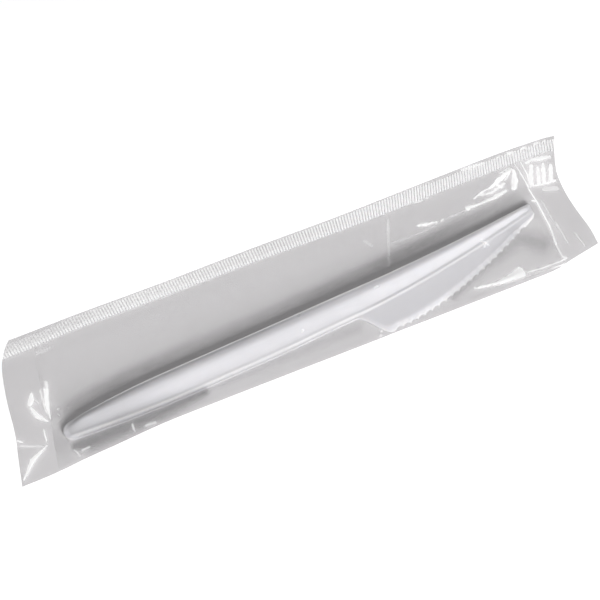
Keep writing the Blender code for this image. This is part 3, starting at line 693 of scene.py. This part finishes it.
def painted_shade_patches(x, y):
    """How deep the film's painted shade is, in soft grey patches over places in millimetres."""
    deep = np.zeros(x.shape)
    for points, depth in PAINTED_SHADES:
        for aside, past, reach in runs(points, x, y):
            deep = np.maximum(deep, depth * np.exp(-(np.hypot(aside, past) / reach) ** 2))
    return deep


def crease_lines(x, y, lines):
    """How high creases stand and how bright their painted highlight lines are, over places in
    millimetres.
    """
    height = np.zeros(x.shape)
    bright = np.zeros(x.shape)
    wander = LINE_WANDER * waves(x, y, LINE_WANDER_LENGTH, 7)
    for points, rise, shine in lines:
        for aside, past, half in runs(points, x, y):
            away = np.hypot(aside, 2.0 * past) + wander * np.minimum(half, 0.8)
            away = np.maximum(away, 0.0)
            bright = np.maximum(bright, shine * ease(0.5 + (half - away) / LINE_SOFTNESS))
            height = np.maximum(height, rise * np.exp(-(away / (half + CREASE_FOOT)) ** 1.5))
    return height, bright


def faint_row(pouch, x, across, pitch):
    """How bright the painted highlights of the faint ribs beside the fin are."""
    share = window(x, *FAINT_ROW_ALONG) * window(pouch.depth - across, *FAINT_ROW_DOWN)
    return FAINT_ROW_HIGHLIGHT * share * ease(0.5 + 0.8 * np.cos(math.tau * x / pitch))


def fin_bars(run, share, wave, speckle):
    """How bright the painted highlights on the fin's ribs are and how grey the painted shade in its
    gaps, over shares of its length and width.

    The bars fade away from their feet at the handle, where a fog lies between them. The outer
    margin is bare near both ends.
    """
    crest = ease(0.64 + 0.80 * wave)
    foot = window(share, *FIN_FEET)
    clear = mix(mix(*FIN_FAINT, ramp(run, 0.12, 0.27)), 1.0, foot)
    clear = mix(clear, 1.0, ramp(run, 0.50, 0.70))
    fog = (FIN_FOG[0] + speckle) * mix(1.0, FIN_FOG[1], ramp(run, 0.25, 0.60))
    margin = ramp(share, 0.78, 0.88) * (ramp(run, 0.12, 0.07) + ramp(run, 0.76, 0.81))
    band = window(share, *FIN_BAND) * (1.0 - margin)
    return band * (fog + (1.0 - fog) * crest * clear), FIN_GAP_SHADE * band * (1.0 - crest)


# Mesh work

def deselect_all():
    """Leave edit mode, with nothing selected."""
    if bpy.context.mode != "OBJECT":
        bpy.ops.object.mode_set(mode="OBJECT")
    bpy.ops.object.select_all(action="DESELECT")


def slab(name, columns, rows):
    """A flat grid drawn out to a closed slab. Returns it and each vertex's column, row and skin."""
    deselect_all()
    bpy.ops.mesh.primitive_grid_add(x_subdivisions=columns, y_subdivisions=rows, size=1.0)
    piece = bpy.context.active_object
    piece.name = piece.data.name = name
    bpy.ops.object.mode_set(mode="EDIT")
    bpy.ops.mesh.select_all(action="SELECT")
    bpy.ops.mesh.extrude_region_move(TRANSFORM_OT_translate={"value": (0.0, 0.0, 1.0)})
    bpy.ops.mesh.select_all(action="SELECT")
    bpy.ops.mesh.normals_make_consistent(inside=False)
    bpy.ops.object.mode_set(mode="OBJECT")
    points = get_points(piece)
    i = np.rint((points[:, 0] + 0.5) * columns).astype(int)
    j = np.rint((points[:, 1] + 0.5) * rows).astype(int)
    return piece, i, j, points[:, 2] > 0.5


def get_points(piece):
    """Places of the piece's vertices."""
    points = np.zeros(3 * len(piece.data.vertices))
    piece.data.vertices.foreach_get("co", points)
    return points.reshape(-1, 3)


def set_points(piece, points):
    """Move the piece's vertices to their places."""
    piece.data.vertices.foreach_set("co", np.ascontiguousarray(points, dtype=np.float32).ravel())
    piece.data.update()


def set_uv(piece, values):
    """Lay the piece's UV map by a pair of values for each vertex."""
    layer = piece.data.uv_layers[0]
    corners = np.zeros(len(piece.data.loops), dtype=np.int32)
    piece.data.loops.foreach_get("vertex_index", corners)
    layer.data.foreach_set("uv", np.ascontiguousarray(values[corners], dtype=np.float32).ravel())


def set_mask(piece, name, values):
    """Keep a number for each vertex, which the piece's material reads."""
    mask = piece.data.attributes.new(name, "FLOAT", "POINT")
    mask.data.foreach_set("value", np.ascontiguousarray(values, dtype=np.float32).ravel())


def smooth(piece, degrees):
    """Shade the piece smooth, apart from edges sharper than the angle."""
    deselect_all()
    piece.select_set(True)
    bpy.context.view_layer.objects.active = piece
    bpy.ops.object.shade_smooth_by_angle(angle=math.radians(degrees))


def sheet(name, pouch, along, across, middle, thickness):
    """A closed film sheet of even thickness about a middle surface of heights on a grid."""
    piece, i, j, upper = slab(name, len(along) - 1, len(across) - 1)
    a, c = np.meshgrid(along, across, indexing="ij")
    surface = np.stack([*pouch.on_pack(a, c), middle], axis=-1)
    normal = np.cross(np.gradient(surface, axis=0), np.gradient(surface, axis=1))
    normal /= np.linalg.norm(normal, axis=-1, keepdims=True)
    side = np.where(upper, 0.5, -0.5)[:, None]
    set_points(piece, surface[i, j] + normal[i, j] * thickness * side)
    set_uv(piece, np.stack([a[i, j] * 10.0, c[i, j] * 10.0], axis=-1))
    return piece, (i, j)


def finish_film(piece, material, degrees):
    """Shade a piece of the film, give it its material, hang it on the root and hide the film that it
    stands in for.
    """
    smooth(piece, degrees)
    piece.data.materials.append(material)
    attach(piece, "root")
    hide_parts("film_wrapper")


# Materials

WHITE = (1.0, 1.0, 1.0, 1.0)
# Tint of the film where the grey mask paints shade
PAINTED_SHADE_TINT = 0.62
# How fully the painted highlights and the fin's milky fog whiten the film
HIGHLIGHT_AND_FOG_COVER = 0.90
SHADOW_SHARE = 0.2
# Tone of the knife where shade is painted at the handle's end
HANDLE_END_SHADE_TONE = 0.72


def shader_tree(name):
    """A new material with an empty node tree."""
    material = bpy.data.materials.new(name)
    material.use_nodes = True
    material.node_tree.nodes.clear()
    return material, material.node_tree


def add_node(tree, kind, inputs=None, **settings):
    """A node with its settings, and its inputs set to values or joined to sockets."""
    node = tree.nodes.new(kind)
    for key, value in settings.items():
        setattr(node, key, value)
    for key, value in (inputs or {}).items():
        if isinstance(value, bpy.types.NodeSocket):
            tree.links.new(value, node.inputs[key])
        else:
            node.inputs[key].default_value = value
    return node


def math_node(tree, operation, *values, clamp=False):
    """Result of a sum on values or sockets."""
    node = add_node(tree, "ShaderNodeMath", dict(enumerate(values)), operation=operation)
    node.use_clamp = clamp
    return node.outputs[0]


def mask_node(tree, name):
    """The number kept for each vertex under a name."""
    return add_node(tree, "ShaderNodeAttribute", attribute_name=name).outputs["Fac"]


def colour_mix(tree, share, start, end):
    """Colour between two, which are colours or sockets."""
    return add_node(tree, "ShaderNodeMix", {0: share, 6: start, 7: end}, data_type="RGBA").outputs[2]


def opaque(colour, share=1.0):
    """A colour made darker by a share, with full alpha."""
    return (*[share * c for c in colour], 1.0)


def crinkle_group():
    """Soft dents and fine crinkles of the film, as a height for a Bump node."""
    name = "film crinkle"
    if name in bpy.data.node_groups:
        return bpy.data.node_groups[name]
    group = bpy.data.node_groups.new(name, "ShaderNodeTree")
    for label, default in (("Dent Scale", 90.0), ("Crinkle Scale", 420.0), ("Crinkle Share", 0.25)):
        socket = group.interface.new_socket(label, in_out="INPUT", socket_type="NodeSocketFloat")
        socket.default_value = default
    group.interface.new_socket("Height", in_out="OUTPUT", socket_type="NodeSocketFloat")
    given = group.nodes.new("NodeGroupInput")
    result = group.nodes.new("NodeGroupOutput")
    place = add_node(group, "ShaderNodeTexCoord").outputs["Object"]
    dents = add_node(group, "ShaderNodeTexNoise",
                     {"Vector": place, "Scale": given.outputs["Dent Scale"], "Detail": 2.0,
                      "Roughness": 0.4})
    fine = add_node(group, "ShaderNodeTexNoise",
                    {"Vector": place, "Scale": given.outputs["Crinkle Scale"], "Detail": 1.0})
    share = math_node(group, "MULTIPLY", fine.outputs["Fac"], given.outputs["Crinkle Share"])
    total = math_node(group, "ADD", dents.outputs["Fac"], share)
    group.links.new(total, result.inputs["Height"])
    return group


def film_material(name, tint, haze, shine, roughness, dents, bump):
    """Clear film: lets light through with a faint tint and mirrors the lamps, with painted highlights
    along creases and ribs.

    The mask "grey" deepens its tint as painted shade, "dull" takes its mirror away and "crease"
    whitens it with painted highlights and the fin's milky fog.
    """
    material, tree = shader_tree(name)
    crinkle = add_node(tree, "ShaderNodeGroup", node_tree=crinkle_group())
    crinkle.inputs["Dent Scale"].default_value = dents
    normal = add_node(tree, "ShaderNodeBump",
                      {"Height": crinkle.outputs["Height"], "Strength": bump, "Distance": 0.0005})
    # The grey mask paints shade and shadow: it deepens the tint in the soft patches, the band behind
    # the knife and the fin's gaps
    shade = colour_mix(tree, mask_node(tree, "grey"), opaque(tint), opaque(tint, PAINTED_SHADE_TINT))
    facing = add_node(tree, "ShaderNodeLayerWeight",
                      {"Blend": 0.5, "Normal": normal.outputs["Normal"]}).outputs["Facing"]
    glance = math_node(tree, "POWER", facing, 5.0)
    mirror = math_node(tree, "MULTIPLY_ADD", glance, 1.0 - shine, shine)
    bright = math_node(tree, "SUBTRACT", 1.0, mask_node(tree, "dull"), clamp=True)
    mirror = math_node(tree, "MULTIPLY", mirror, bright)
    clear = add_node(tree, "ShaderNodeBsdfTransparent", {"Color": shade})
    gloss = add_node(tree, "ShaderNodeBsdfAnisotropic",
                     {"Color": WHITE, "Roughness": roughness,
                      "Normal": normal.outputs["Normal"]})
    film = add_node(tree, "ShaderNodeMixShader",
                    {0: mirror, 1: clear.outputs[0], 2: gloss.outputs[0]})
    # Painted highlights: the crease mask whitens the film along creases and the fin's ribs, together
    # with the fin's milky fog
    veil = math_node(tree, "MULTIPLY_ADD", mask_node(tree, "crease"), HIGHLIGHT_AND_FOG_COVER, haze, clamp=True)
    white = add_node(tree, "ShaderNodeBsdfPrincipled", {"Base Color": WHITE, "Roughness": 0.3})
    seen = add_node(tree, "ShaderNodeMixShader", {0: veil, 1: film.outputs[0], 2: white.outputs[0]})
    faint = [1.0 - SHADOW_SHARE * (1.0 - c) for c in tint]
    cast = add_node(tree, "ShaderNodeBsdfTransparent", {"Color": opaque(faint)})
    path = add_node(tree, "ShaderNodeLightPath")
    both = add_node(tree, "ShaderNodeMixShader",
                    {0: path.outputs["Is Shadow Ray"], 1: seen.outputs[0], 2: cast.outputs[0]})
    add_node(tree, "ShaderNodeOutputMaterial", {"Surface": both.outputs[0]})
    return material


def fused(tint):
    """Tint of a seal, where two layers of film are one."""
    return [share * share for share in tint]


def knife_material(colour, roughness):
    """White moulded plastic: half gloss, with faint flow marks along it and a fine skin.

    The mask "faint" makes its tone greyer as painted shade at the handle's end, and the mask of white
    lines paints highlights on its back, bead, bevel and teeth.
    """
    material, tree = shader_tree("white moulded plastic")
    place = add_node(tree, "ShaderNodeTexCoord").outputs["Object"]
    stretched = add_node(tree, "ShaderNodeMapping",
                         {"Vector": place, "Rotation": (0.0, 0.0, -KNIFE_TURN),
                          "Scale": (18.0, 260.0, 160.0)})
    flow = add_node(tree, "ShaderNodeTexNoise",
                    {"Vector": stretched.outputs[0], "Scale": 1.0, "Detail": 3.0})
    skin = add_node(tree, "ShaderNodeTexNoise", {"Vector": place, "Scale": 1800.0, "Detail": 2.0})
    tone = colour_mix(tree, flow.outputs["Fac"], opaque(colour, 0.96), opaque(colour))
    # Painted shade greys the handle's end
    tone = colour_mix(tree, mask_node(tree, "faint"), tone, opaque(colour, HANDLE_END_SHADE_TONE))
    # Painted highlights turn the tone white
    tone = colour_mix(tree, mask_node(tree, "painted_highlight"), tone, WHITE)
    gloss = add_node(tree, "ShaderNodeMapRange",
                     {0: flow.outputs["Fac"], 1: 0.3, 2: 0.7,
                      3: roughness - 0.06, 4: roughness + 0.06})
    height = math_node(tree, "MULTIPLY_ADD", skin.outputs["Fac"], 0.3, flow.outputs["Fac"])
    bump = add_node(tree, "ShaderNodeBump", {"Height": height, "Strength": 0.15, "Distance": 0.0001})
    shader = add_node(tree, "ShaderNodeBsdfPrincipled",
                      {"Base Color": tone, "Roughness": gloss.outputs[0],
                       "Subsurface Weight": 0.4, "Subsurface Radius": (1.0, 0.95, 0.9),
                       "Subsurface Scale": 0.0008, "Normal": bump.outputs["Normal"]})
    add_node(tree, "ShaderNodeOutputMaterial", {"Surface": shader.outputs[0]})
    return material


def floor_material(colour, glow, bare_glow):
    """Pale matt floor that shows as the picture's white ground and keeps the shadows on it.

    Where nothing hangs over it the camera sees it a little brighter than through the film.
    """
    material, tree = shader_tree("studio floor")
    path = add_node(tree, "ShaderNodeLightPath").outputs
    seen = math_node(tree, "MAXIMUM", path["Is Camera Ray"], path["Is Glossy Ray"])
    seen = math_node(tree, "MAXIMUM", seen, path["Is Transmission Ray"])
    bare = math_node(tree, "SUBTRACT", path["Is Camera Ray"], path["Transparent Depth"], clamp=True)
    strength = math_node(tree, "MULTIPLY", seen, glow)
    strength = math_node(tree, "MULTIPLY_ADD", bare, bare_glow, strength)
    matt = add_node(tree, "ShaderNodeBsdfDiffuse", {"Color": opaque(colour)})
    light = add_node(tree, "ShaderNodeEmission", {"Color": WHITE, "Strength": strength})
    both = add_node(tree, "ShaderNodeAddShader", {0: matt.outputs[0], 1: light.outputs[0]})
    add_node(tree, "ShaderNodeOutputMaterial", {"Surface": both.outputs[0]})
    return material


# Settings

class KnifeSettings(bpy.types.PropertyGroup):
    """Sizes and finish of the knife."""

    tooth_pitch: FloatProperty(
        name="Tooth pitch", description="Distance between the points of the cutting edge",
        default=TOOTH_PITCH, min=0.001, max=0.006, unit="LENGTH")
    tooth_depth: FloatProperty(
        name="Tooth depth", description="How deep the scallops between the points are",
        default=0.00075, min=0.0, max=0.0012, unit="LENGTH")
    colour: FloatVectorProperty(
        name="Colour", description="Colour of the moulded plastic",
        default=(0.86, 0.86, 0.885), min=0.0, max=1.0, size=3, subtype="COLOR")
    roughness: FloatProperty(
        name="Roughness", description="How matt the plastic is",
        default=0.35, min=0.0, max=1.0, subtype="FACTOR")


class FilmSettings(bpy.types.PropertyGroup):
    """Sizes and finish of the film and its seals."""

    rib_pitch: FloatProperty(
        name="Rib pitch", description="Distance between the ribs of the fin seal",
        default=0.00095, min=0.0005, max=0.003, unit="LENGTH")
    rib_height: FloatProperty(
        name="Rib height", description="Height of the fin seal's ribs",
        default=0.00016, min=0.0, max=0.0005, unit="LENGTH")
    tint: FloatVectorProperty(
        name="Tint", description="Share of light that each face of the film lets through",
        default=(0.887, 0.883, 0.886), min=0.0, max=1.0, size=3, subtype="COLOR")
    haze: FloatProperty(
        name="Haze", description="How milky the film is",
        default=0.02, min=0.0, max=1.0, subtype="FACTOR")


class StageSettings(bpy.types.PropertyGroup):
    """Floor, lamps and camera."""

    floor_colour: FloatVectorProperty(
        name="Floor colour", description="Colour of the floor",
        default=(0.95, 0.95, 0.95), min=0.0, max=1.0, size=3, subtype="COLOR")
    floor_glow: FloatProperty(
        name="Floor glow", description="Light added to the floor where the camera sees it",
        default=0.12, min=0.0, max=1.0)
    bare_floor_glow: FloatProperty(
        name="Bare floor glow", description="More light on the floor where no film is in front",
        default=0.12, min=0.0, max=1.0)
    key_power: FloatProperty(
        name="Key power", description="Power of the softbox on the fold's side", default=18.5,
        min=0.0, unit="POWER")
    top_power: FloatProperty(
        name="Top power", description="Power of the softbox above the pack", default=6.0,
        min=0.0, unit="POWER")
    fill: FloatProperty(
        name="Fill", description="Strength of the light from all round", default=0.14, min=0.0)
    camera_distance: FloatProperty(
        name="Camera distance", description="From the middle of the pack to the camera",
        default=0.5, min=0.1, unit="LENGTH")
    camera_elevation: FloatProperty(
        name="Camera elevation", description="Angle of the camera above the floor",
        default=math.radians(70.0), min=0.1, max=1.57, subtype="ANGLE")
    camera_azimuth: FloatProperty(
        name="Camera azimuth", description="Angle of the camera round the pack",
        default=math.radians(-22.15), subtype="ANGLE")
    lens: FloatProperty(
        name="Lens", description="Focal length on a sensor 36 mm wide", default=94.8, min=10.0)


# Operators

CAMERA_AIM = Vector((0.00095, 0.00075, 0.0))
FLOOR_DROP = 0.0002


def toward(azimuth, elevation):
    """Direction from the pack to something seen at these angles, in radians."""
    return Vector((math.sin(azimuth) * math.cos(elevation), -math.cos(azimuth) * math.cos(elevation),
                   math.sin(elevation)))


def look_back(aim, distance, middle=Vector()):
    """Matrix of something that looks at a middle from a distance."""
    turn = aim.to_track_quat("Z", "Y").to_matrix().to_4x4()
    return Matrix.Translation(middle + aim * distance) @ turn


def add_softbox(name, azimuth, elevation, distance, size, power):
    """An oblong lamp that looks at the pack from angles in degrees."""
    bpy.ops.object.light_add(type="AREA")
    lamp = bpy.context.active_object
    lamp.name = name
    aim = toward(math.radians(azimuth), math.radians(elevation))
    lamp.matrix_world = look_back(aim, distance)
    lamp.data.shape = "RECTANGLE"
    lamp.data.size, lamp.data.size_y = size
    lamp.data.energy = power
    return lamp


class WRAPPEDKNIFE_OT_stage(bpy.types.Operator):
    """Add the floor, the lamps and the camera"""

    bl_idname = "wrapped_knife.stage"
    bl_label = "Add Stage"

    def execute(self, context):
        settings = context.scene.wrapped_knife_stage
        deselect_all()
        bpy.ops.mesh.primitive_plane_add(size=6.0, location=(0.0, 0.0, -FLOOR_DROP))
        floor = context.active_object
        floor.name = "floor"
        bpy.ops.object.transform_apply(location=True, rotation=True, scale=True)
        floor.data.materials.append(floor_material(
            settings.floor_colour, settings.floor_glow, settings.bare_floor_glow))
        key = add_softbox("key softbox", 8.0, 33.0, 1.2, (0.40, 0.84), settings.key_power)
        key.visible_glossy = False
        add_softbox("top softbox", 158.0, 72.0, 1.4, (2.2, 2.2), settings.top_power)
        world = context.scene.world or bpy.data.worlds.new("studio")
        context.scene.world = world
        world.use_nodes = True
        background = world.node_tree.nodes["Background"]
        background.inputs["Color"].default_value = WHITE
        background.inputs["Strength"].default_value = settings.fill
        self.add_camera(context, settings)
        context.scene.view_settings.view_transform = "Standard"
        context.scene.cycles.transparent_max_bounces = 32
        return {"FINISHED"}

    def add_camera(self, context, settings):
        bpy.ops.object.camera_add()
        camera = context.active_object
        camera.name = "camera"
        back = toward(settings.camera_azimuth, settings.camera_elevation)
        camera.matrix_world = look_back(back, settings.camera_distance, CAMERA_AIM)
        camera.data.sensor_width = 36.0
        camera.data.lens = settings.lens
        camera.data.clip_start, camera.data.clip_end = 0.01, 20.0
        context.scene.camera = camera


class WRAPPEDKNIFE_OT_knife(bpy.types.Operator):
    """Add the knife: arched handle, ribbed back, flat blade and scalloped cutting edge"""

    bl_idname = "wrapped_knife.knife"
    bl_label = "Add Knife"

    def execute(self, context):
        settings = context.scene.wrapped_knife_knife
        stations, phase = knife_stations(settings.tooth_pitch)
        hollow = np.abs(np.sin(math.pi * phase))
        across, top, under = knife_section(stations, settings.tooth_depth * hollow ** TOOTH_HOLLOW)
        piece, i, j, upper = slab("disposable_knife", len(stations) - 1, across.shape[1] - 1)
        height = np.where(upper, top[i, j], under[i, j])
        points = knife_to_pack(stations[i], across[i, j], height)
        points[:, :2] += Pouch().shift
        set_points(piece, points)
        white, grey = knife_masks(stations, 1.0 - hollow, across)
        # Painted highlights on the knife's lines, bevel and teeth, and painted shade at the handle's
        # end
        set_mask(piece, "painted_highlight", white[i, j])
        set_mask(piece, "faint", grey[i, j])
        smooth(piece, KNIFE_ANGLE)
        piece.data.materials.append(knife_material(settings.colour, settings.roughness))
        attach(piece, "root")
        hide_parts("knife")
        return {"FINISHED"}


class WRAPPEDKNIFE_OT_panels(bpy.types.Operator):
    """Add the film over and under the knife, between the seals"""

    bl_idname = "wrapped_knife.panels"
    bl_label = "Add Film Panels"

    def execute(self, context):
        settings = context.scene.wrapped_knife_film
        pouch = Pouch()
        material = film_material("clear film", settings.tint, settings.haze,
                                 shine=0.045, roughness=0.10, dents=90.0, bump=0.20)
        nose = FOLD_RADIUS * (1.0 - np.cos(np.radians(np.linspace(0.0, 90.0, 7)[:-1])))
        finish_film(self.add_top(pouch, nose, settings.rib_pitch), material, PANEL_ANGLE)
        finish_film(self.add_under(pouch, nose), material, PANEL_ANGLE)
        return {"FINISHED"}

    def add_top(self, pouch, nose, rib_pitch):
        """The film over the knife, closer where it is crinkled."""
        handle, tip = pouch.start + CRINKLED_START, pouch.end - CRINKLED_END
        along = np.concatenate([np.linspace(pouch.start, handle, 75)[:-1],
                                np.linspace(handle, tip, 160)[:-1],
                                np.linspace(tip, pouch.end, 115)])
        across = np.concatenate([nose, np.linspace(FOLD_RADIUS, pouch.depth, 100)])
        a, c = np.meshgrid(along, across, indexing="ij")
        x, y = pouch.on_pack(a, c)
        grid_along, grid_across, heights, least = tent(pouch)
        flat = np.maximum(c, FOLD_RADIUS)
        height = grid_value(grid_along, grid_across, heights, a, flat)
        floor = grid_value(grid_along, grid_across, least, a, flat)
        height = np.where(c < FOLD_RADIUS, pouch.fold_top(a, c), height)
        rise, bright = crease_lines(MM * x, MM * y, CREASES)
        soft = sum(size * waves(x, y, length, seed) for size, length, seed in SOFT_WAVES)
        loose = pouch.open_share(a, c, TOP_FIN_RUN) * ramp(c, 0.0, FOLD_RUN)
        height = np.maximum(height + loose * (soft + CREASE_RISE * rise), floor - FILM)
        piece, (i, j) = sheet("film_top", pouch, along, across, height - 0.5 * FILM, FILM)
        # Painted highlights of the faint ribs join those of the creases
        bright = np.maximum(bright, faint_row(pouch, x, c, rib_pitch))
        # Painted shade: grey patches of the film and a painted shadow band behind the knife's back
        grey = np.maximum(painted_shade_patches(MM * x, MM * y), painted_back_shadow(*pouch.place(a, c)))
        set_mask(piece, "crease", bright[i, j])
        set_mask(piece, "grey", grey[i, j])
        set_mask(piece, "dull", ramp(c, 2.0 * FOLD_RADIUS, FOLD_RADIUS)[i, j])
        return piece

    def add_under(self, pouch, nose):
        """The film beneath the knife."""
        along = np.linspace(pouch.start, pouch.end, 180)
        across = np.concatenate([nose, np.linspace(FOLD_RADIUS, pouch.depth, 48)])
        a, c = np.meshgrid(along, across, indexing="ij")
        height = pouch.under(a, c) + 0.5 * FILM
        piece, (i, j) = sheet("film_under", pouch, along, across, height, FILM)
        set_mask(piece, "dull", ramp(c, 2.0 * FOLD_RADIUS, FOLD_RADIUS)[i, j])
        return piece


class WRAPPEDKNIFE_OT_fin(bpy.types.Operator):
    """Add the ribbed fin seal along the pack's far side"""

    bl_idname = "wrapped_knife.fin"
    bl_label = "Add Fin Seal"

    def execute(self, context):
        settings = context.scene.wrapped_knife_film
        pouch = Pouch()
        ribs = int(round(pouch.length / settings.rib_pitch))
        along = np.linspace(pouch.outer_start, pouch.outer_end, RIB_STEPS * ribs + 1)
        band_end = pouch.width - FIN_LIP
        across = np.concatenate([np.linspace(pouch.depth, band_end, 30), [pouch.width]])
        a, c = np.meshgrid(along, across, indexing="ij")
        run = (a - pouch.outer_start) / pouch.length
        band_start = pouch.depth + smooth_curve(FIN_FOOT, run)
        share = (c - band_start) / (band_end - band_start)
        place = pouch.place(a, c)[0] + smooth_curve(FIN_LEAN, run) * (c - band_start)
        wave = np.cos(math.tau * place / settings.rib_pitch)
        rib = 0.5 * settings.rib_height * wave * window(share, *FIN_BAND)
        height = pouch.seal_height(a, c) + rib
        piece, (i, j) = sheet("fin_seal", pouch, along, across, height, SEAL_THICKNESS)
        size, length, seed = FIN_SPECKLE
        # Painted highlights on the ribs, with the fog between them, and painted shade in their gaps
        rib_highlight, grey = fin_bars(run, share, wave, size * waves(a, c, length, seed))
        x, y = pouch.on_pack(a, c)
        _, bright = crease_lines(MM * x, MM * y, FIN_CREASES)
        set_mask(piece, "crease", np.maximum(rib_highlight, bright)[i, j])
        set_mask(piece, "grey", grey[i, j])
        material = film_material("ribbed seal film", fused(settings.tint), 2.0 * settings.haze,
                                 shine=0.05, roughness=0.12, dents=150.0, bump=0.05)
        finish_film(piece, material, FIN_ANGLE)
        return {"FINISHED"}


class WRAPPEDKNIFE_OT_end_seals(bpy.types.Operator):
    """Add the crimped seal across each end of the pack"""

    bl_idname = "wrapped_knife.end_seals"
    bl_label = "Add End Seals"

    def execute(self, context):
        settings = context.scene.wrapped_knife_film
        pouch = Pouch()
        material = film_material("end seal film", fused(settings.tint), 2.0 * settings.haze,
                                 shine=0.045, roughness=0.07, dents=120.0, bump=0.3)
        for name, start, end in (("handle_end_seal", pouch.outer_start, pouch.start),
                                 ("tip_end_seal", pouch.end, pouch.outer_end)):
            along = np.linspace(start, end, 60)
            across = np.linspace(0.0, pouch.depth, 130)
            a, c = np.meshgrid(along, across, indexing="ij")
            x, y = pouch.on_pack(a, c)
            rise, bright = crease_lines(MM * x, MM * y, CREASES)
            crimp = CRIMP_HEIGHT * np.cos(math.tau * (a - start) / CRIMP_PITCH)
            inner = ramp(np.minimum(a - start, end - a), 0.0, CRIMP_RUN)
            height = pouch.seal_height(a, c) + inner * (crimp + SEAL_CREASE_RISE * rise)
            piece, (i, j) = sheet(name, pouch, along, across, height, SEAL_THICKNESS)
            # Painted highlights along the creases
            set_mask(piece, "crease", bright[i, j])
            finish_film(piece, material, END_SEAL_ANGLE)
        return {"FINISHED"}


class WRAPPEDKNIFE_PT_sidebar(bpy.types.Panel):
    """Steps and settings of the wrapped knife"""

    bl_idname = "WRAPPEDKNIFE_PT_sidebar"
    bl_label = "Wrapped Knife"
    bl_space_type = "VIEW_3D"
    bl_region_type = "UI"
    bl_category = "Wrapped Knife"

    def draw(self, context):
        for operator in OPERATORS:
            self.layout.operator(operator.bl_idname)
        for name in ("wrapped_knife_knife", "wrapped_knife_film", "wrapped_knife_stage"):
            settings = getattr(context.scene, name)
            box = self.layout.box()
            for key in settings.__annotations__:
                box.prop(settings, key)


SETTINGS = (KnifeSettings, FilmSettings, StageSettings)
OPERATORS = (WRAPPEDKNIFE_OT_stage, WRAPPEDKNIFE_OT_knife, WRAPPEDKNIFE_OT_panels,
             WRAPPEDKNIFE_OT_fin, WRAPPEDKNIFE_OT_end_seals)


def register():
    for kind in SETTINGS + OPERATORS + (WRAPPEDKNIFE_PT_sidebar,):
        bpy.utils.register_class(kind)
    bpy.types.Scene.wrapped_knife_knife = PointerProperty(type=KnifeSettings)
    bpy.types.Scene.wrapped_knife_film = PointerProperty(type=FilmSettings)
    bpy.types.Scene.wrapped_knife_stage = PointerProperty(type=StageSettings)


def unregister():
    del bpy.types.Scene.wrapped_knife_knife
    del bpy.types.Scene.wrapped_knife_film
    del bpy.types.Scene.wrapped_knife_stage
    for kind in reversed(SETTINGS + OPERATORS + (WRAPPEDKNIFE_PT_sidebar,)):
        bpy.utils.unregister_class(kind)


def main():
    register()
    bpy.ops.wrapped_knife.stage()
    bpy.ops.wrapped_knife.knife()
    bpy.ops.wrapped_knife.panels()
    bpy.ops.wrapped_knife.fin()
    bpy.ops.wrapped_knife.end_seals()


if __name__ == "__main__":
    main()
